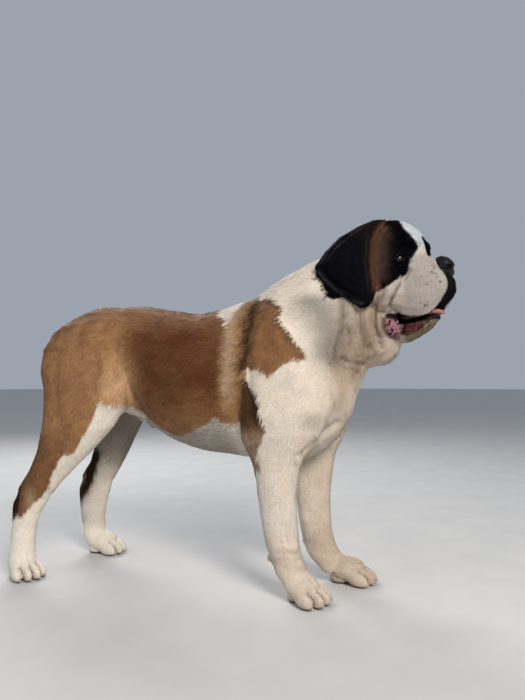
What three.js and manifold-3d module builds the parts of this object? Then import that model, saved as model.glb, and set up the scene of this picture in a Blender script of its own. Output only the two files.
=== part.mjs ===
import * as THREE from "three";
import { mergeVertices } from "three/addons/utils/BufferGeometryUtils.js";
import Module from "manifold-3d";

// A standing Saint Bernard, life size, in millimetres.
// While it is built: nose towards +X, its own left side towards +Y, floor at Z = 0,
// and X = 0 just behind the point of the shoulder. The last lines move the origin.

// Driving sizes
const GAP = 0.3; // left between two neighbouring nodes
const EAR_GAP = 0.5; // round the thin ears
const HEAD_AT = [150, 0, 830]; // middle of the skull
const HEAD_TURN = -15; // degrees, to the dog's right
const EYE_RADIUS = 12.5;
const EYE_AT = [66, 50, -5]; // in the head's own frame, left eye
const LID_THICKNESS = 3.2;
const EYE_FACES = 52; // degrees from straight ahead, outwards
const EAR_THICKNESS = 7;
const TOES = [-35, -12.5, 12.5, 35]; // across the paw
const CLAW_LENGTH = 19;
const CLAW_RADIUS = 4.6;

const wasm = await Module();
wasm.setup();
const { Manifold, Mesh } = wasm;
const rad = THREE.MathUtils.degToRad;

// Solids from triangles
function solidFrom(geometry) {
  const bare = geometry.clone();
  bare.deleteAttribute("normal");
  bare.deleteAttribute("uv");
  const merged = mergeVertices(bare, 1e-3);
  const mesh = new Mesh({
    numProp: 3,
    vertProperties: merged.attributes.position.array,
    triVerts: new Uint32Array(merged.index.array),
  });
  return new Manifold(mesh);
}

// The largest closed body of a solid
function largest(solid) {
  const bodies = solid.decompose();
  bodies.sort((one, other) => other.volume() - one.volume());
  return bodies[0];
}

// Smooth values between the stations of a loft
function between(stations, key, t) {
  const points = stations.map((s) => new THREE.Vector2(...key(s)));
  return new THREE.SplineCurve(points).getPoint(t);
}

// A closed loft. Each station gives the ends [x, z] of one axis of its ring, `a` and `b`,
// where its middle lies across the dog, `y`, its half width, and how boxy it is.
// `egg` makes a ring wider towards `a` and narrower towards `b`.
function loft(stations, { around = 24, steps = 2, grow = 0 } = {}) {
  const rings = (stations.length - 1) * steps + 1;
  const positions = [];
  const index = [];
  const middles = [];
  for (let r = 0; r < rings; r++) {
    const t = r / (rings - 1);
    const a = between(stations, (s) => s.a, t);
    const b = between(stations, (s) => s.b, t);
    const side = between(stations, (s) => [s.y ?? 0, s.half], t);
    const form = between(stations, (s) => [s.egg ?? 0, s.boxy ?? 2.1], t);
    const middle = a.clone().add(b).multiplyScalar(0.5);
    const axis = a.clone().sub(b).multiplyScalar(0.5);
    axis.setLength(axis.length() + grow);
    middles.push(new THREE.Vector3(middle.x, side.x, middle.y));
    for (let i = 0; i < around; i++) {
      const angle = (i / around) * 2 * Math.PI;
      const along = rounded(Math.cos(angle), form.y);
      const across = rounded(Math.sin(angle), form.y) * (1 + form.x * along);
      positions.push(
        middle.x + axis.x * along,
        side.x + (Math.max(side.y, 1) + grow) * across,
        middle.y + axis.y * along,
      );
    }
  }
  for (let r = 0; r < rings - 1; r++) {
    for (let i = 0; i < around; i++) {
      const next = (i + 1) % around;
      const here = r * around;
      const there = here + around;
      index.push(here + i, here + next, there + i);
      index.push(here + next, there + next, there + i);
    }
  }
  const first = rings * around;
  positions.push(...middles[0].toArray());
  positions.push(...middles[rings - 1].toArray());
  for (let i = 0; i < around; i++) {
    const next = (i + 1) % around;
    const end = (rings - 1) * around;
    index.push(first, next, i);
    index.push(first + 1, end + i, end + next);
  }
  return facingOut(positions, index);
}

function rounded(value, power) {
  return Math.sign(value) * Math.abs(value) ** (2 / power);
}

// A solid whose triangles all face out, whichever way its rings run
function facingOut(positions, index) {
  const geometry = new THREE.BufferGeometry();
  geometry.setAttribute("position", new THREE.Float32BufferAttribute(positions, 3));
  geometry.setIndex(index);
  const solid = solidFrom(geometry);
  if (solid.volume() > 0) return solid;
  const turned = [];
  for (let i = 0; i < index.length; i += 3) {
    turned.push(index[i], index[i + 2], index[i + 1]);
  }
  geometry.setIndex(turned);
  return solidFrom(geometry);
}

// An ellipsoid: middle, three radii, and a turn in degrees about Y, then about Z
function ball(at, radii, { pitch = 0, yaw = 0, across = 14, high = 10 } = {}) {
  const geometry = new THREE.SphereGeometry(1, across, high);
  geometry.rotateX(Math.PI / 2);
  geometry.scale(...radii);
  geometry.rotateY(rad(pitch));
  geometry.rotateZ(rad(yaw));
  geometry.translate(...at);
  return solidFrom(geometry);
}

// A block that marks which part of the dog belongs to one node
function block(at, size, { pitch = 0, yaw = 0, grow = 0 } = {}) {
  const grown = size.map((length) => length + 2 * grow);
  const geometry = new THREE.BoxGeometry(...grown);
  geometry.rotateY(rad(pitch));
  geometry.rotateZ(rad(yaw));
  geometry.translate(...at);
  return solidFrom(geometry);
}

function joined(solids) {
  return solids.reduce((whole, solid) => whole.add(solid));
}

// Mirrors a solid to the other side of the dog
function otherSide(solid) {
  return solid.mirror([0, 1, 0]);
}

// Torso, from the buttocks to the chest
const TORSO = [
  { a: [-818, 640], b: [-810, 575], half: 24 },
  { a: [-798, 672], b: [-795, 485], half: 64 },
  { a: [-762, 698], b: [-765, 448], half: 100 },
  { a: [-700, 726], b: [-705, 440], half: 118 },
  { a: [-630, 744], b: [-635, 438], half: 122 },
  { a: [-555, 746], b: [-560, 440], half: 116, egg: 0.04 },
  { a: [-480, 738], b: [-485, 408], half: 118, egg: 0.05 },
  { a: [-400, 724], b: [-405, 366], half: 134, egg: 0.06 },
  { a: [-320, 716], b: [-325, 342], half: 148, egg: 0.06 },
  { a: [-240, 736], b: [-245, 332], half: 150, egg: 0.02 },
  { a: [-165, 754], b: [-165, 326], half: 142, egg: -0.04 },
  { a: [-90, 762], b: [-90, 326], half: 134, egg: -0.06 },
  { a: [-20, 740], b: [-20, 338], half: 122, egg: -0.06 },
  { a: [35, 690], b: [34, 378], half: 104 },
  { a: [68, 630], b: [70, 430], half: 76 },
  { a: [84, 560], b: [86, 490], half: 36 },
];

// Neck, from inside the shoulders to inside the back of the head
const NECK = [
  { a: [-200, 738], b: [10, 420], half: 110 },
  { a: [-128, 790], b: [62, 450], y: 4, half: 116, egg: -0.04 },
  { a: [-62, 828], b: [92, 500], y: 10, half: 111, egg: -0.09 },
  { a: [6, 863], b: [116, 560], y: 17, half: 103, egg: -0.12 },
  { a: [70, 884], b: [160, 570], y: 17, half: 93, egg: -0.12 },
  { a: [118, 890], b: [192, 594], y: 7, half: 80, egg: -0.08 },
  { a: [152, 880], b: [207, 642], y: -4, half: 56 },
];

// Fore leg, from the top of the shoulder blade to the pastern
const FORE_RIGHT = [
  { a: [-95, 725], b: [-185, 705], y: -66, half: 30 },
  { a: [-30, 650], b: [-210, 620], y: -86, half: 50 },
  { a: [40, 560], b: [-212, 530], y: -96, half: 60 },
  { a: [56, 478], b: [-204, 455], y: -100, half: 62 },
  { a: [22, 405], b: [-192, 395], y: -100, half: 58 },
  { a: [-26, 345], b: [-166, 345], y: -98, half: 50 },
  { a: [-44, 290], b: [-150, 290], y: -95, half: 44 },
  { a: [-48, 235], b: [-143, 230], y: -93, half: 40 },
  { a: [-46, 180], b: [-135, 175], y: -91, half: 37 },
  { a: [-42, 132], b: [-125, 126], y: -90, half: 37 },
  { a: [-30, 92], b: [-108, 82], y: -90, half: 37 },
  { a: [-14, 62], b: [-97, 48], y: -90, half: 39 },
  { a: [0, 38], b: [-90, 20], y: -91, half: 40 },
];
const FORE_LEFT = [
  { a: [-80, 725], b: [-175, 705], y: 66, half: 30 },
  { a: [-10, 650], b: [-195, 620], y: 86, half: 50 },
  { a: [52, 560], b: [-190, 530], y: 96, half: 60 },
  { a: [66, 478], b: [-175, 455], y: 100, half: 62 },
  { a: [48, 405], b: [-155, 395], y: 100, half: 58 },
  { a: [20, 345], b: [-124, 345], y: 97, half: 50 },
  { a: [8, 290], b: [-106, 290], y: 93, half: 44 },
  { a: [2, 235], b: [-95, 230], y: 90, half: 40 },
  { a: [2, 180], b: [-87, 175], y: 87, half: 37 },
  { a: [6, 132], b: [-78, 122], y: 85, half: 37 },
  { a: [16, 96], b: [-66, 80], y: 84, half: 37 },
  { a: [34, 66], b: [-50, 46], y: 83, half: 39 },
  { a: [52, 42], b: [-38, 18], y: 82, half: 40 },
];

// Hind leg, from the hip to the foot
const HIND_RIGHT = [
  { a: [-580, 705], b: [-740, 690], y: -66, half: 40 },
  { a: [-530, 630], b: [-782, 620], y: -82, half: 58 },
  { a: [-500, 545], b: [-785, 560], y: -92, half: 64 },
  { a: [-502, 468], b: [-768, 505], y: -100, half: 60 },
  { a: [-556, 400], b: [-762, 448], y: -108, half: 54 },
  { a: [-606, 346], b: [-764, 395], y: -114, half: 48 },
  { a: [-652, 302], b: [-772, 342], y: -119, half: 41 },
  { a: [-697, 256], b: [-794, 288], y: -124, half: 33 },
  { a: [-735, 208], b: [-830, 232], y: -128, half: 28 },
  { a: [-760, 168], b: [-843, 188], y: -130, half: 27 },
  { a: [-772, 125], b: [-842, 140], y: -131, half: 26 },
  { a: [-775, 85], b: [-845, 95], y: -132, half: 27 },
  { a: [-770, 52], b: [-850, 52], y: -133, half: 30 },
  { a: [-760, 26], b: [-850, 20], y: -134, half: 32 },
];
const HIND_LEFT = [
  { a: [-570, 705], b: [-730, 690], y: 66, half: 40 },
  { a: [-520, 630], b: [-772, 620], y: 82, half: 58 },
  { a: [-500, 548], b: [-775, 560], y: 92, half: 64 },
  { a: [-520, 480], b: [-760, 505], y: 100, half: 60 },
  { a: [-572, 420], b: [-748, 448], y: 108, half: 54 },
  { a: [-604, 366], b: [-742, 395], y: 114, half: 48 },
  { a: [-632, 314], b: [-742, 338], y: 119, half: 41 },
  { a: [-660, 266], b: [-760, 286], y: 124, half: 33 },
  { a: [-688, 222], b: [-796, 232], y: 127, half: 28 },
  { a: [-702, 184], b: [-806, 188], y: 129, half: 27 },
  { a: [-714, 142], b: [-802, 140], y: 130, half: 26 },
  { a: [-720, 100], b: [-794, 95], y: 130, half: 27 },
  { a: [-716, 60], b: [-786, 54], y: 130, half: 30 },
  { a: [-700, 28], b: [-778, 20], y: 130, half: 32 },
];

// Tail, hanging from the croup
const TAIL = [
  { a: [-774, 688], b: [-772, 628], y: 0, half: 22 },
  { a: [-808, 678], b: [-790, 612], y: 0, half: 27 },
  { a: [-836, 640], b: [-796, 590], y: 1, half: 27 },
  { a: [-846, 570], b: [-799, 555], y: 2, half: 25 },
  { a: [-848, 490], b: [-800, 485], y: 3, half: 24 },
  { a: [-850, 405], b: [-800, 403], y: 4, half: 22 },
  { a: [-850, 330], b: [-804, 331], y: 5, half: 19 },
  { a: [-850, 268], b: [-816, 270], y: 6, half: 13 },
  { a: [-845, 232], b: [-832, 234], y: 6, half: 6 },
];

// Skull with its cheeks, from the back of the head to the stop
const SKULL = [
  { a: [-98, 22], b: [-92, -40], half: 40 },
  { a: [-78, 62], b: [-80, -100], half: 72 },
  { a: [-36, 92], b: [-44, -150], half: 86 },
  { a: [12, 104], b: [0, -176], half: 89 },
  { a: [52, 103], b: [34, -168], half: 82 },
  { a: [84, 90], b: [70, -128], half: 68 },
  { a: [107, 66], b: [98, -110], half: 54 },
  { a: [120, 36], b: [118, -96], half: 42 },
  { a: [127, 8], b: [130, -80], half: 26 },
];

// Muzzle, and the left one of its two hanging upper lips
const MUZZLE = [
  { a: [56, 24], b: [44, -100], half: 54 },
  { a: [92, 10], b: [84, -108], half: 52 },
  { a: [118, 6], b: [112, -108], half: 46 },
  { a: [140, 1], b: [138, -106], half: 39 },
  { a: [156, -6], b: [158, -98], half: 31 },
  { a: [168, -18], b: [172, -88], half: 18 },
];
const FLEW = [
  { a: [48, -24], b: [38, -118], y: 42, half: 18 },
  { a: [84, -8], b: [77, -144], y: 40, half: 25 },
  { a: [114, -10], b: [110, -152], y: 35, half: 30, egg: -0.1 },
  { a: [138, -16], b: [136, -144], y: 31, half: 31, egg: -0.1 },
  { a: [158, -28], b: [157, -120], y: 27, half: 28 },
  { a: [174, -44], b: [176, -98], y: 23, half: 21 },
  { a: [182, -58], b: [184, -82], y: 20, half: 12 },
];
const MOUTH = [
  { a: [48, -118], b: [40, -158], half: 30 },
  { a: [84, -108], b: [80, -172], half: 46 },
  { a: [120, -106], b: [120, -176], half: 47 },
  { a: [150, -108], b: [152, -176], half: 38 },
  { a: [172, -114], b: [176, -160], half: 14 },
];

// Lower jaw with its lip, and the tongue on it
const JAW = [
  { a: [18, -140], b: [6, -196], half: 56 },
  { a: [52, -152], b: [46, -206], half: 52, egg: -0.05 },
  { a: [84, -153], b: [82, -200], half: 45, egg: -0.05 },
  { a: [112, -145], b: [114, -184], half: 39 },
  { a: [134, -138], b: [136, -167], half: 31 },
  { a: [146, -139], b: [147, -152], half: 15 },
];
const TONGUE = [
  { a: [44, -132], b: [40, -150], half: 20, boxy: 2.6 },
  { a: [76, -132], b: [74, -156], half: 30, boxy: 2.6 },
  { a: [108, -128], b: [108, -150], half: 30, boxy: 2.6 },
  { a: [138, -124], b: [138, -140], half: 25, boxy: 2.6 },
  { a: [154, -127], b: [151, -138], half: 18, boxy: 2.6 },
  { a: [161, -134], b: [157, -140], half: 8 },
];

const NOSE = [
  { a: [146, -2], b: [150, -46], half: 22, boxy: 2.4 },
  { a: [158, 0], b: [161, -50], half: 29, boxy: 2.6 },
  { a: [170, -4], b: [171, -52], half: 30, boxy: 2.6 },
  { a: [179, -12], b: [178, -48], half: 24, boxy: 2.6 },
  { a: [182, -20], b: [181, -40], half: 13 },
];

// Left ear: its front and rear edge, how far out each lies, and the bulge between
const EAR = [
  { z: 97, front: [44, 50], rear: [4, 56], out: 2 },
  { z: 83, front: [45, 64], rear: [-32, 68], out: 9 },
  { z: 58, front: [31, 82], rear: [-75, 82], out: 17 },
  { z: 25, front: [21, 91], rear: [-111, 90], out: 19 },
  { z: -8, front: [19, 94], rear: [-136, 94], out: 19 },
  { z: -36, front: [22, 95], rear: [-132, 97], out: 16 },
  { z: -63, front: [26, 95], rear: [-99, 97], out: 13 },
  { z: -89, front: [26, 94], rear: [-65, 96], out: 9 },
  { z: -111, front: [15, 93], rear: [-30, 94], out: 5 },
  { z: -122, front: [2, 93], rear: [-14, 93], out: 2 },
];

// One ear: slices from the base down, each a thin curved strip that is hollow to the head
function ear(grow = 0) {
  const half = 7;
  const rings = EAR.length;
  const positions = [];
  const index = [];
  const around = 2 * (half + 1);
  for (let r = 0; r < rings; r++) {
    const t = r / (rings - 1);
    const front = between(EAR, (s) => s.front, t);
    const rear = between(EAR, (s) => s.rear, t);
    const high = between(EAR, (s) => [s.z, s.out], t);
    const end = r === 0 ? grow : r === rings - 1 ? -grow : 0;
    for (let k = 0; k < around; k++) {
      const outer = k <= half;
      const u = (outer ? k : around - 1 - k) / half;
      const reach = (u - 0.5) * (1 + (2 * grow) / (front.x - rear.x)) + 0.5;
      const x = front.x + (rear.x - front.x) * reach;
      const bulge = high.y * Math.sin(Math.PI * u) ** 0.8;
      const middle = front.y + (rear.y - front.y) * u + bulge;
      const thick = (EAR_THICKNESS / 2) * (0.55 + 0.45 * Math.sin(Math.PI * u)) + grow;
      positions.push(x, middle + (outer ? thick : -thick), high.x + end);
    }
  }
  for (let r = 0; r < rings - 1; r++) {
    for (let k = 0; k < around; k++) {
      const next = (k + 1) % around;
      const here = r * around;
      const there = here + around;
      index.push(here + k, there + k, here + next);
      index.push(here + next, there + k, there + next);
    }
  }
  const last = (rings - 1) * around;
  for (let k = 0; k < half; k++) {
    const back = around - 1 - k;
    index.push(k, k + 1, back, k + 1, back - 1, back);
    index.push(last + k, last + back, last + k + 1);
    index.push(last + k + 1, last + back, last + back - 1);
  }
  return facingOut(positions, index);
}

// Puts a solid of the head's own frame where the head is
function onHead(solid) {
  return solid.rotate([0, 0, HEAD_TURN]).translate(HEAD_AT);
}

// Lids: a rim round the eyeball with an almond opening that looks out and ahead
function eyeball(grow = 0) {
  const radius = EYE_RADIUS + grow;
  return ball(EYE_AT, [radius, radius, radius], { across: 14, high: 8 });
}

function lidRim() {
  const radius = EYE_RADIUS + LID_THICKNESS;
  return ball(EYE_AT, [radius, radius, radius], { across: 16, high: 10 });
}

function eyeOpening() {
  const [wide, high, low] = [9.5, 4.6, 6.4];
  const almond = new THREE.Shape();
  almond.moveTo(-wide, -1.5);
  almond.quadraticCurveTo(-2, 2.2 * high - 2, wide, 0.5);
  almond.quadraticCurveTo(1, -2.2 * low + 1, -wide, -1.5);
  const geometry = new THREE.ExtrudeGeometry(almond, {
    depth: 40,
    bevelEnabled: false,
    curveSegments: 5,
  });
  geometry.rotateX(Math.PI / 2);
  geometry.rotateZ(Math.PI);
  geometry.rotateZ(rad(EYE_FACES - 90));
  geometry.translate(...EYE_AT);
  return solidFrom(geometry);
}

// Nostril: a hollow that runs back into the nose, and the slit that turns out of it
function nostril() {
  const hole = ball([180, 12.5, -29], [13, 7, 7.5], { yaw: 14, across: 8, high: 6 });
  const slit = ball([172, 24, -35], [13, 9, 3], { yaw: 50, across: 8, high: 6 });
  return hole.add(slit);
}

// Paw, toes towards +X, its ankle over the origin, sole at Z = 0
function paw({ length = 1, width = 1 }) {
  const solids = [
    ball([10 * length, 0, 34], [50 * length, 42 * width, 33], { across: 12, high: 8 }),
    ball([-8, 0, 12], [34, 32 * width, 18], { across: 10, high: 6 }),
  ];
  for (const across of TOES) {
    const outer = Math.abs(across) > 20;
    const reach = (outer ? 36 : 50) * length;
    const turn = across * 0.28;
    const y = across * width;
    const toe = [33, 15.5 * width, 19];
    solids.push(
      ball([reach + 5, y, 19], toe, { pitch: 16, yaw: turn, across: 9, high: 6 }),
      claw([reach + 31, y * 1.1, 11], turn),
    );
  }
  return joined(solids);
}

function claw(at, turn) {
  const geometry = new THREE.ConeGeometry(CLAW_RADIUS, CLAW_LENGTH, 6, 1);
  geometry.rotateZ(rad(-112));
  geometry.rotateX(Math.PI / 2);
  geometry.rotateZ(rad(turn));
  geometry.translate(...at);
  return solidFrom(geometry);
}

function placedPaw(sizes, [x, y], turn) {
  return paw(sizes).rotate([0, 0, turn]).translate([x, y, 0]);
}

// The small pad behind the wrist of a fore leg
function wristPad(x, y) {
  return ball([x, y, 96], [12, 12, 14], { across: 8, high: 6 });
}

// Whole body of flesh, in one piece
function wholeDog() {
  const brow = ball([80, 36, 34], [38, 27, 27], { yaw: 20, across: 12, high: 8 });
  const cheek = ball([22, 56, -66], [66, 40, 70], { across: 12, high: 8 });
  const earRoot = ball([-12, 50, 52], [42, 27, 34], { across: 8, high: 5 });
  const flew = loft(FLEW, { around: 14 });
  const head = onHead(
    joined([
      loft(SKULL, { around: 22 }),
      loft(MUZZLE, { around: 20 }),
      brow,
      otherSide(brow),
      cheek,
      otherSide(cheek),
      earRoot,
      otherSide(earRoot),
      flew,
      otherSide(flew),
    ]),
  );
  return joined([
    loft(TORSO, { around: 24 }),
    loft(NECK, { around: 20 }),
    loft(FORE_RIGHT, { around: 20, steps: 1 }),
    loft(FORE_LEFT, { around: 20, steps: 1 }),
    loft(HIND_RIGHT, { around: 20, steps: 1 }),
    loft(HIND_LEFT, { around: 20, steps: 1 }),
    placedPaw({}, [-44, -92], -24),
    placedPaw({}, [38, 80], -2),
    wristPad(-112, -90),
    wristPad(-66, 85),
    placedPaw({ length: 0.92, width: 0.9 }, [-814, -134], -26),
    placedPaw({ length: 0.92, width: 0.9 }, [-732, 130], 4),
    head,
  ]).trimByPlane([0, 0, 1], 0);
}

const group = new THREE.Group();
group.name = "saint_bernard";

function addNode(name, solid, color, roughness = 0.9) {
  const { vertProperties, triVerts } = largest(solid).getMesh();
  const geometry = new THREE.BufferGeometry();
  geometry.setAttribute("position", new THREE.Float32BufferAttribute(vertProperties, 3));
  geometry.setIndex(new THREE.BufferAttribute(triVerts, 1));
  const material = new THREE.MeshStandardMaterial({ color, roughness });
  const mesh = new THREE.Mesh(geometry, material);
  mesh.name = name;
  group.add(mesh);
}

const TAN = 0x9c6038;
const CREAM = 0xe6ddcc;
const BLACK = 0x1c1a1b;
const PINK = 0xc9807f;

// Where one node ends and the next begins: a block for each node that is parted off
const CUTS = [
  ["right_fore_paw", [-50, -110, 20], [260, 170, 100], { pitch: 12 }, CREAM],
  ["left_fore_paw", [10, 110, 20], [260, 170, 100], { pitch: 12 }, CREAM],
  ["right_hind_paw", [-800, -140, 14], [240, 190, 100], {}, CREAM],
  ["left_hind_paw", [-730, 140, 14], [240, 190, 100], {}, CREAM],
  ["right_forearm", [-90, -130, 177], [300, 250, 296], {}, CREAM],
  ["left_forearm", [-60, 130, 177], [300, 250, 296], {}, CREAM],
  ["right_hock", [-800, -140, 100], [260, 200, 240], {}, CREAM],
  ["left_hock", [-740, 140, 100], [260, 200, 240], {}, CREAM],
  ["right_thigh", [-690, -150, 298], [420, 290, 276], {}, TAN],
  ["left_thigh", [-690, 150, 298], [420, 290, 276], {}, TAN],
];

let rest = wholeDog();

// Ears, eyes, nose, jaw and tongue lie in hollows of the head and neck
const leftEar = onHead(ear());
const rightEar = onHead(otherSide(ear()));
const nostrils = nostril().add(otherSide(nostril()));
const nose = onHead(loft(NOSE, { around: 18, steps: 1 }).subtract(nostrils));
const jaw = onHead(loft(JAW, { around: 20 }));
const tongue = onHead(loft(TONGUE, { around: 14, steps: 1 }));
rest = rest.add(onHead(lidRim())).add(onHead(otherSide(lidRim())));
for (const hollow of [
  eyeball(GAP),
  otherSide(eyeball(GAP)),
  eyeOpening(),
  otherSide(eyeOpening()),
  ear(EAR_GAP),
  otherSide(ear(EAR_GAP)),
  loft(NOSE, { around: 18, steps: 1, grow: GAP }),
  loft(MOUTH, { around: 16 }),
  loft(JAW, { around: 20, grow: GAP }),
  loft(TONGUE, { around: 14, steps: 1, grow: GAP }),
]) {
  rest = rest.subtract(onHead(hollow));
}
rest = rest.subtract(loft(TAIL, { around: 14, steps: 1, grow: GAP }));
addNode("left_ear", leftEar, BLACK);
addNode("right_ear", rightEar, BLACK);
addNode("left_eye", onHead(eyeball()), 0x2a1710, 0.1);
addNode("right_eye", onHead(otherSide(eyeball())), 0x2a1710, 0.1);
addNode("nose", nose, BLACK, 0.4);
addNode("lower_jaw", jaw, CREAM);
addNode("tongue", tongue.subtract(onHead(loft(JAW, { around: 20, grow: GAP }))), PINK, 0.4);

addNode("tail", loft(TAIL, { around: 14, steps: 1 }), TAN);

for (const [name, at, size, turn, color] of CUTS) {
  addNode(name, rest.intersect(block(at, size, turn)), color);
  rest = rest.subtract(block(at, size, { ...turn, grow: GAP }));
}

// The trunk and head are parted by blocks that reach across the whole dog
const TRUNK_CUTS = [
  ["head", [232, 0, 866], [300, 400, 470], { pitch: 10, yaw: HEAD_TURN }, BLACK],
  ["neck", [130, 0, 740], [330, 400, 640], { pitch: 28 }, CREAM],
  ["chest", [-40, 0, 500], [420, 460, 900], {}, CREAM],
  ["barrel", [-380, 0, 500], [400, 460, 900], {}, TAN],
];
for (const [name, at, size, turn, color] of TRUNK_CUTS) {
  addNode(name, rest.intersect(block(at, size, turn)), color);
  rest = rest.subtract(block(at, size, { ...turn, grow: GAP }));
}
addNode("hindquarters", rest, TAN);

// Origin: middle of the bounding box, on the floor
const bounds = new THREE.Box3().setFromObject(group);
const middle = bounds.getCenter(new THREE.Vector3());
group.position.set(-middle.x, -middle.y, -bounds.min.z);

export default group;
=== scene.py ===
"""A Saint Bernard that stands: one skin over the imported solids, its short coat, eyes, nose and claws."""

import itertools
import math

import bmesh
import bpy
import numpy as np
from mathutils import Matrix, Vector
from mathutils.bvhtree import BVHTree


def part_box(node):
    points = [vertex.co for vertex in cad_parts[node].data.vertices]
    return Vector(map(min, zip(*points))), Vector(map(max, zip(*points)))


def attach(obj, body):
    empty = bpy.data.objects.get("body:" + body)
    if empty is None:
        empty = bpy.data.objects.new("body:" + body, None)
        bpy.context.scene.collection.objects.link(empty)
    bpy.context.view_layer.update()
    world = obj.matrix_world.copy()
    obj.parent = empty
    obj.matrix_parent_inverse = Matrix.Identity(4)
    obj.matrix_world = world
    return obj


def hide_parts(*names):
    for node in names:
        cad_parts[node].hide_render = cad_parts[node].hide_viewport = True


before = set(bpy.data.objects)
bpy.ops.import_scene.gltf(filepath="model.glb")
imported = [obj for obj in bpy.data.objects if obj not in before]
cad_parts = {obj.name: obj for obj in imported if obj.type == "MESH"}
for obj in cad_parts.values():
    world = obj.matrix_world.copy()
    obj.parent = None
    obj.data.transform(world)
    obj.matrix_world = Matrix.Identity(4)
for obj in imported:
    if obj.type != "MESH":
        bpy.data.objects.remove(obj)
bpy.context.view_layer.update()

MM = 0.001

# Places are in millimetres in the dog's own axes: x forwards, y to its left, z up from the floor
HEAD_AT = np.array([150.0, 0.0, 830.0])
HEAD_TURN = math.radians(-15)
EYE_AT = np.array([66.0, 50.0, -5.0])  # left eye, from the head's origin
EYE_RADIUS = 12.5
EYE_FACES = math.radians(52)  # outwards from straight ahead

# Skin
SWELL = 0.55  # how far the nodes are let out, so that they fuse across their gaps
VOXEL = 2.4
SKIN_TRIANGLES = 290_000
SMOOTHING_ROUNDS = (36, 120)  # before and after the body's mesh is thinned
FACE_SMOOTHING = 0.45  # beside 1 on the body
PAW_SMOOTHING = 0.5
BORDER_ROUNDS = (12, 8)  # over which the smoothing changes from body to face and paws
EYE_REFINED = (2.2, 1.6)  # triangles this near an eye, in its radii, are cut into four
EAR_VOXEL = 1.8
EAR_ROUNDS = 24
JOINT_REACH = 9  # rings of points on each side of a joint that are levelled
LEVEL_ROUNDS = 110

FLESH = (
    "head lower_jaw nose left_eye right_eye neck chest barrel hindquarters tail "
    "left_thigh right_thigh left_hock right_hock left_forearm right_forearm "
    "left_fore_paw right_fore_paw left_hind_paw right_hind_paw"
).split()
EARS = ("left_ear", "right_ear")
REGIONS = FLESH + list(EARS)
FACE = ("head", "lower_jaw", "nose", "left_eye", "right_eye")
PAWS = ("left_fore_paw", "right_fore_paw", "left_hind_paw", "right_hind_paw")


# Places


def turned(points, angle):
    """Points or directions turned about the upright axis."""
    c, s = math.cos(angle), math.sin(angle)
    x, y, z = np.moveaxis(np.asarray(points, float), -1, 0)
    return np.stack([c * x - s * y, s * x + c * y, z], -1)


def head_to_dog(points):
    return turned(points, HEAD_TURN) + HEAD_AT


def dog_to_head(points):
    return turned(np.asarray(points, float) - HEAD_AT, -HEAD_TURN)


def middle_of(node):
    low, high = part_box(node)
    return np.array((low + high) / 2) / MM


ORIGIN = middle_of("left_eye") - head_to_dog(EYE_AT)


def to_dog(frame_points):
    return frame_points / MM - ORIGIN


def to_frame(dog_points):
    return (dog_points + ORIGIN) * MM


# Fields over points


def lattice_noise(points, size, seed):
    """Smooth noise from -1 to 1; size is how wide its patches are."""
    table = np.random.default_rng(seed).uniform(-1, 1, (32, 32, 32))
    place = points / size
    base = np.floor(place).astype(int)
    part = place - base
    part = part * part * (3 - 2 * part)
    total = np.zeros(len(points))
    for corner in itertools.product((0, 1), repeat=3):
        weight = np.where(corner, part, 1 - part).prod(1)
        x, y, z = ((base + corner) % 32).T
        total += weight * table[x, y, z]
    return total


def noise_vector(points, size, seed):
    return np.stack([lattice_noise(points, size, seed + k) for k in range(3)], 1)


def step_between(values, low, high):
    t = np.clip((values - low) / (high - low), 0, 1)
    return t * t * (3 - 2 * t)


def bump_at(points, centre, reach):
    """1 at a centre, falling off as a bell over its reach on each axis."""
    away = (points - np.asarray(centre, float)) / np.asarray(reach, float)
    return np.exp(-(away**2).sum(1))


def path_distance(points, path):
    """How far each point is from a path of straight lengths."""
    nearest = np.full(len(points), 1e9)
    path = np.asarray(path, float)
    for start, end in zip(path[:-1], path[1:]):
        along = end - start
        t = np.clip((points - start) @ along / (along @ along), 0, 1)
        away = points - start - t[:, None] * along
        nearest = np.minimum(nearest, np.sqrt((away**2).sum(1)))
    return nearest


def near_path(points, path, width, power=2):
    """1 along a path, falling off as a bell over its width."""
    return np.exp(-((path_distance(points, path) / width) ** power))


def mirrored(points):
    """Points folded onto the dog's left side."""
    return np.stack([points[:, 0], np.abs(points[:, 1]), points[:, 2]], 1)


def outline_depth(flat, outline):
    """Signed distance into a closed outline on a plane, above 0 inside it."""
    outline = np.asarray(outline, float)
    inside = np.zeros(len(flat), bool)
    for start, end in zip(outline, np.roll(outline, -1, 0)):
        crosses = (start[1] > flat[:, 1]) != (end[1] > flat[:, 1])
        slope = (end[0] - start[0]) / (end[1] - start[1] + 1e-9)
        inside ^= crosses & (flat[:, 0] < start[0] + slope * (flat[:, 1] - start[1]))
    edge = path_distance(flat, np.vstack([outline, outline[:1]]))
    return np.where(inside, edge, -edge)


# Meshes as arrays


def mesh_arrays(mesh):
    count = len(mesh.vertices)
    points = np.empty(count * 3)
    mesh.vertices.foreach_get("co", points)
    mesh.calc_loop_triangles()
    corners = np.empty(len(mesh.loop_triangles) * 3, np.int32)
    mesh.loop_triangles.foreach_get("vertices", corners)
    return to_dog(points.reshape(-1, 3)), corners.reshape(-1, 3)


def mesh_from(name, dog_points, faces):
    faces = np.asarray(faces, np.int32)
    sides = faces.shape[1]
    mesh = bpy.data.meshes.new(name)
    mesh.vertices.add(len(dog_points))
    mesh.vertices.foreach_set("co", to_frame(dog_points).astype(np.float32).ravel())
    mesh.loops.add(faces.size)
    mesh.loops.foreach_set("vertex_index", faces.ravel())
    mesh.polygons.add(len(faces))
    mesh.polygons.foreach_set("loop_start", np.arange(0, faces.size, sides, dtype=np.int32))
    mesh.update(calc_edges=True)
    mesh.shade_smooth()
    return mesh


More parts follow.
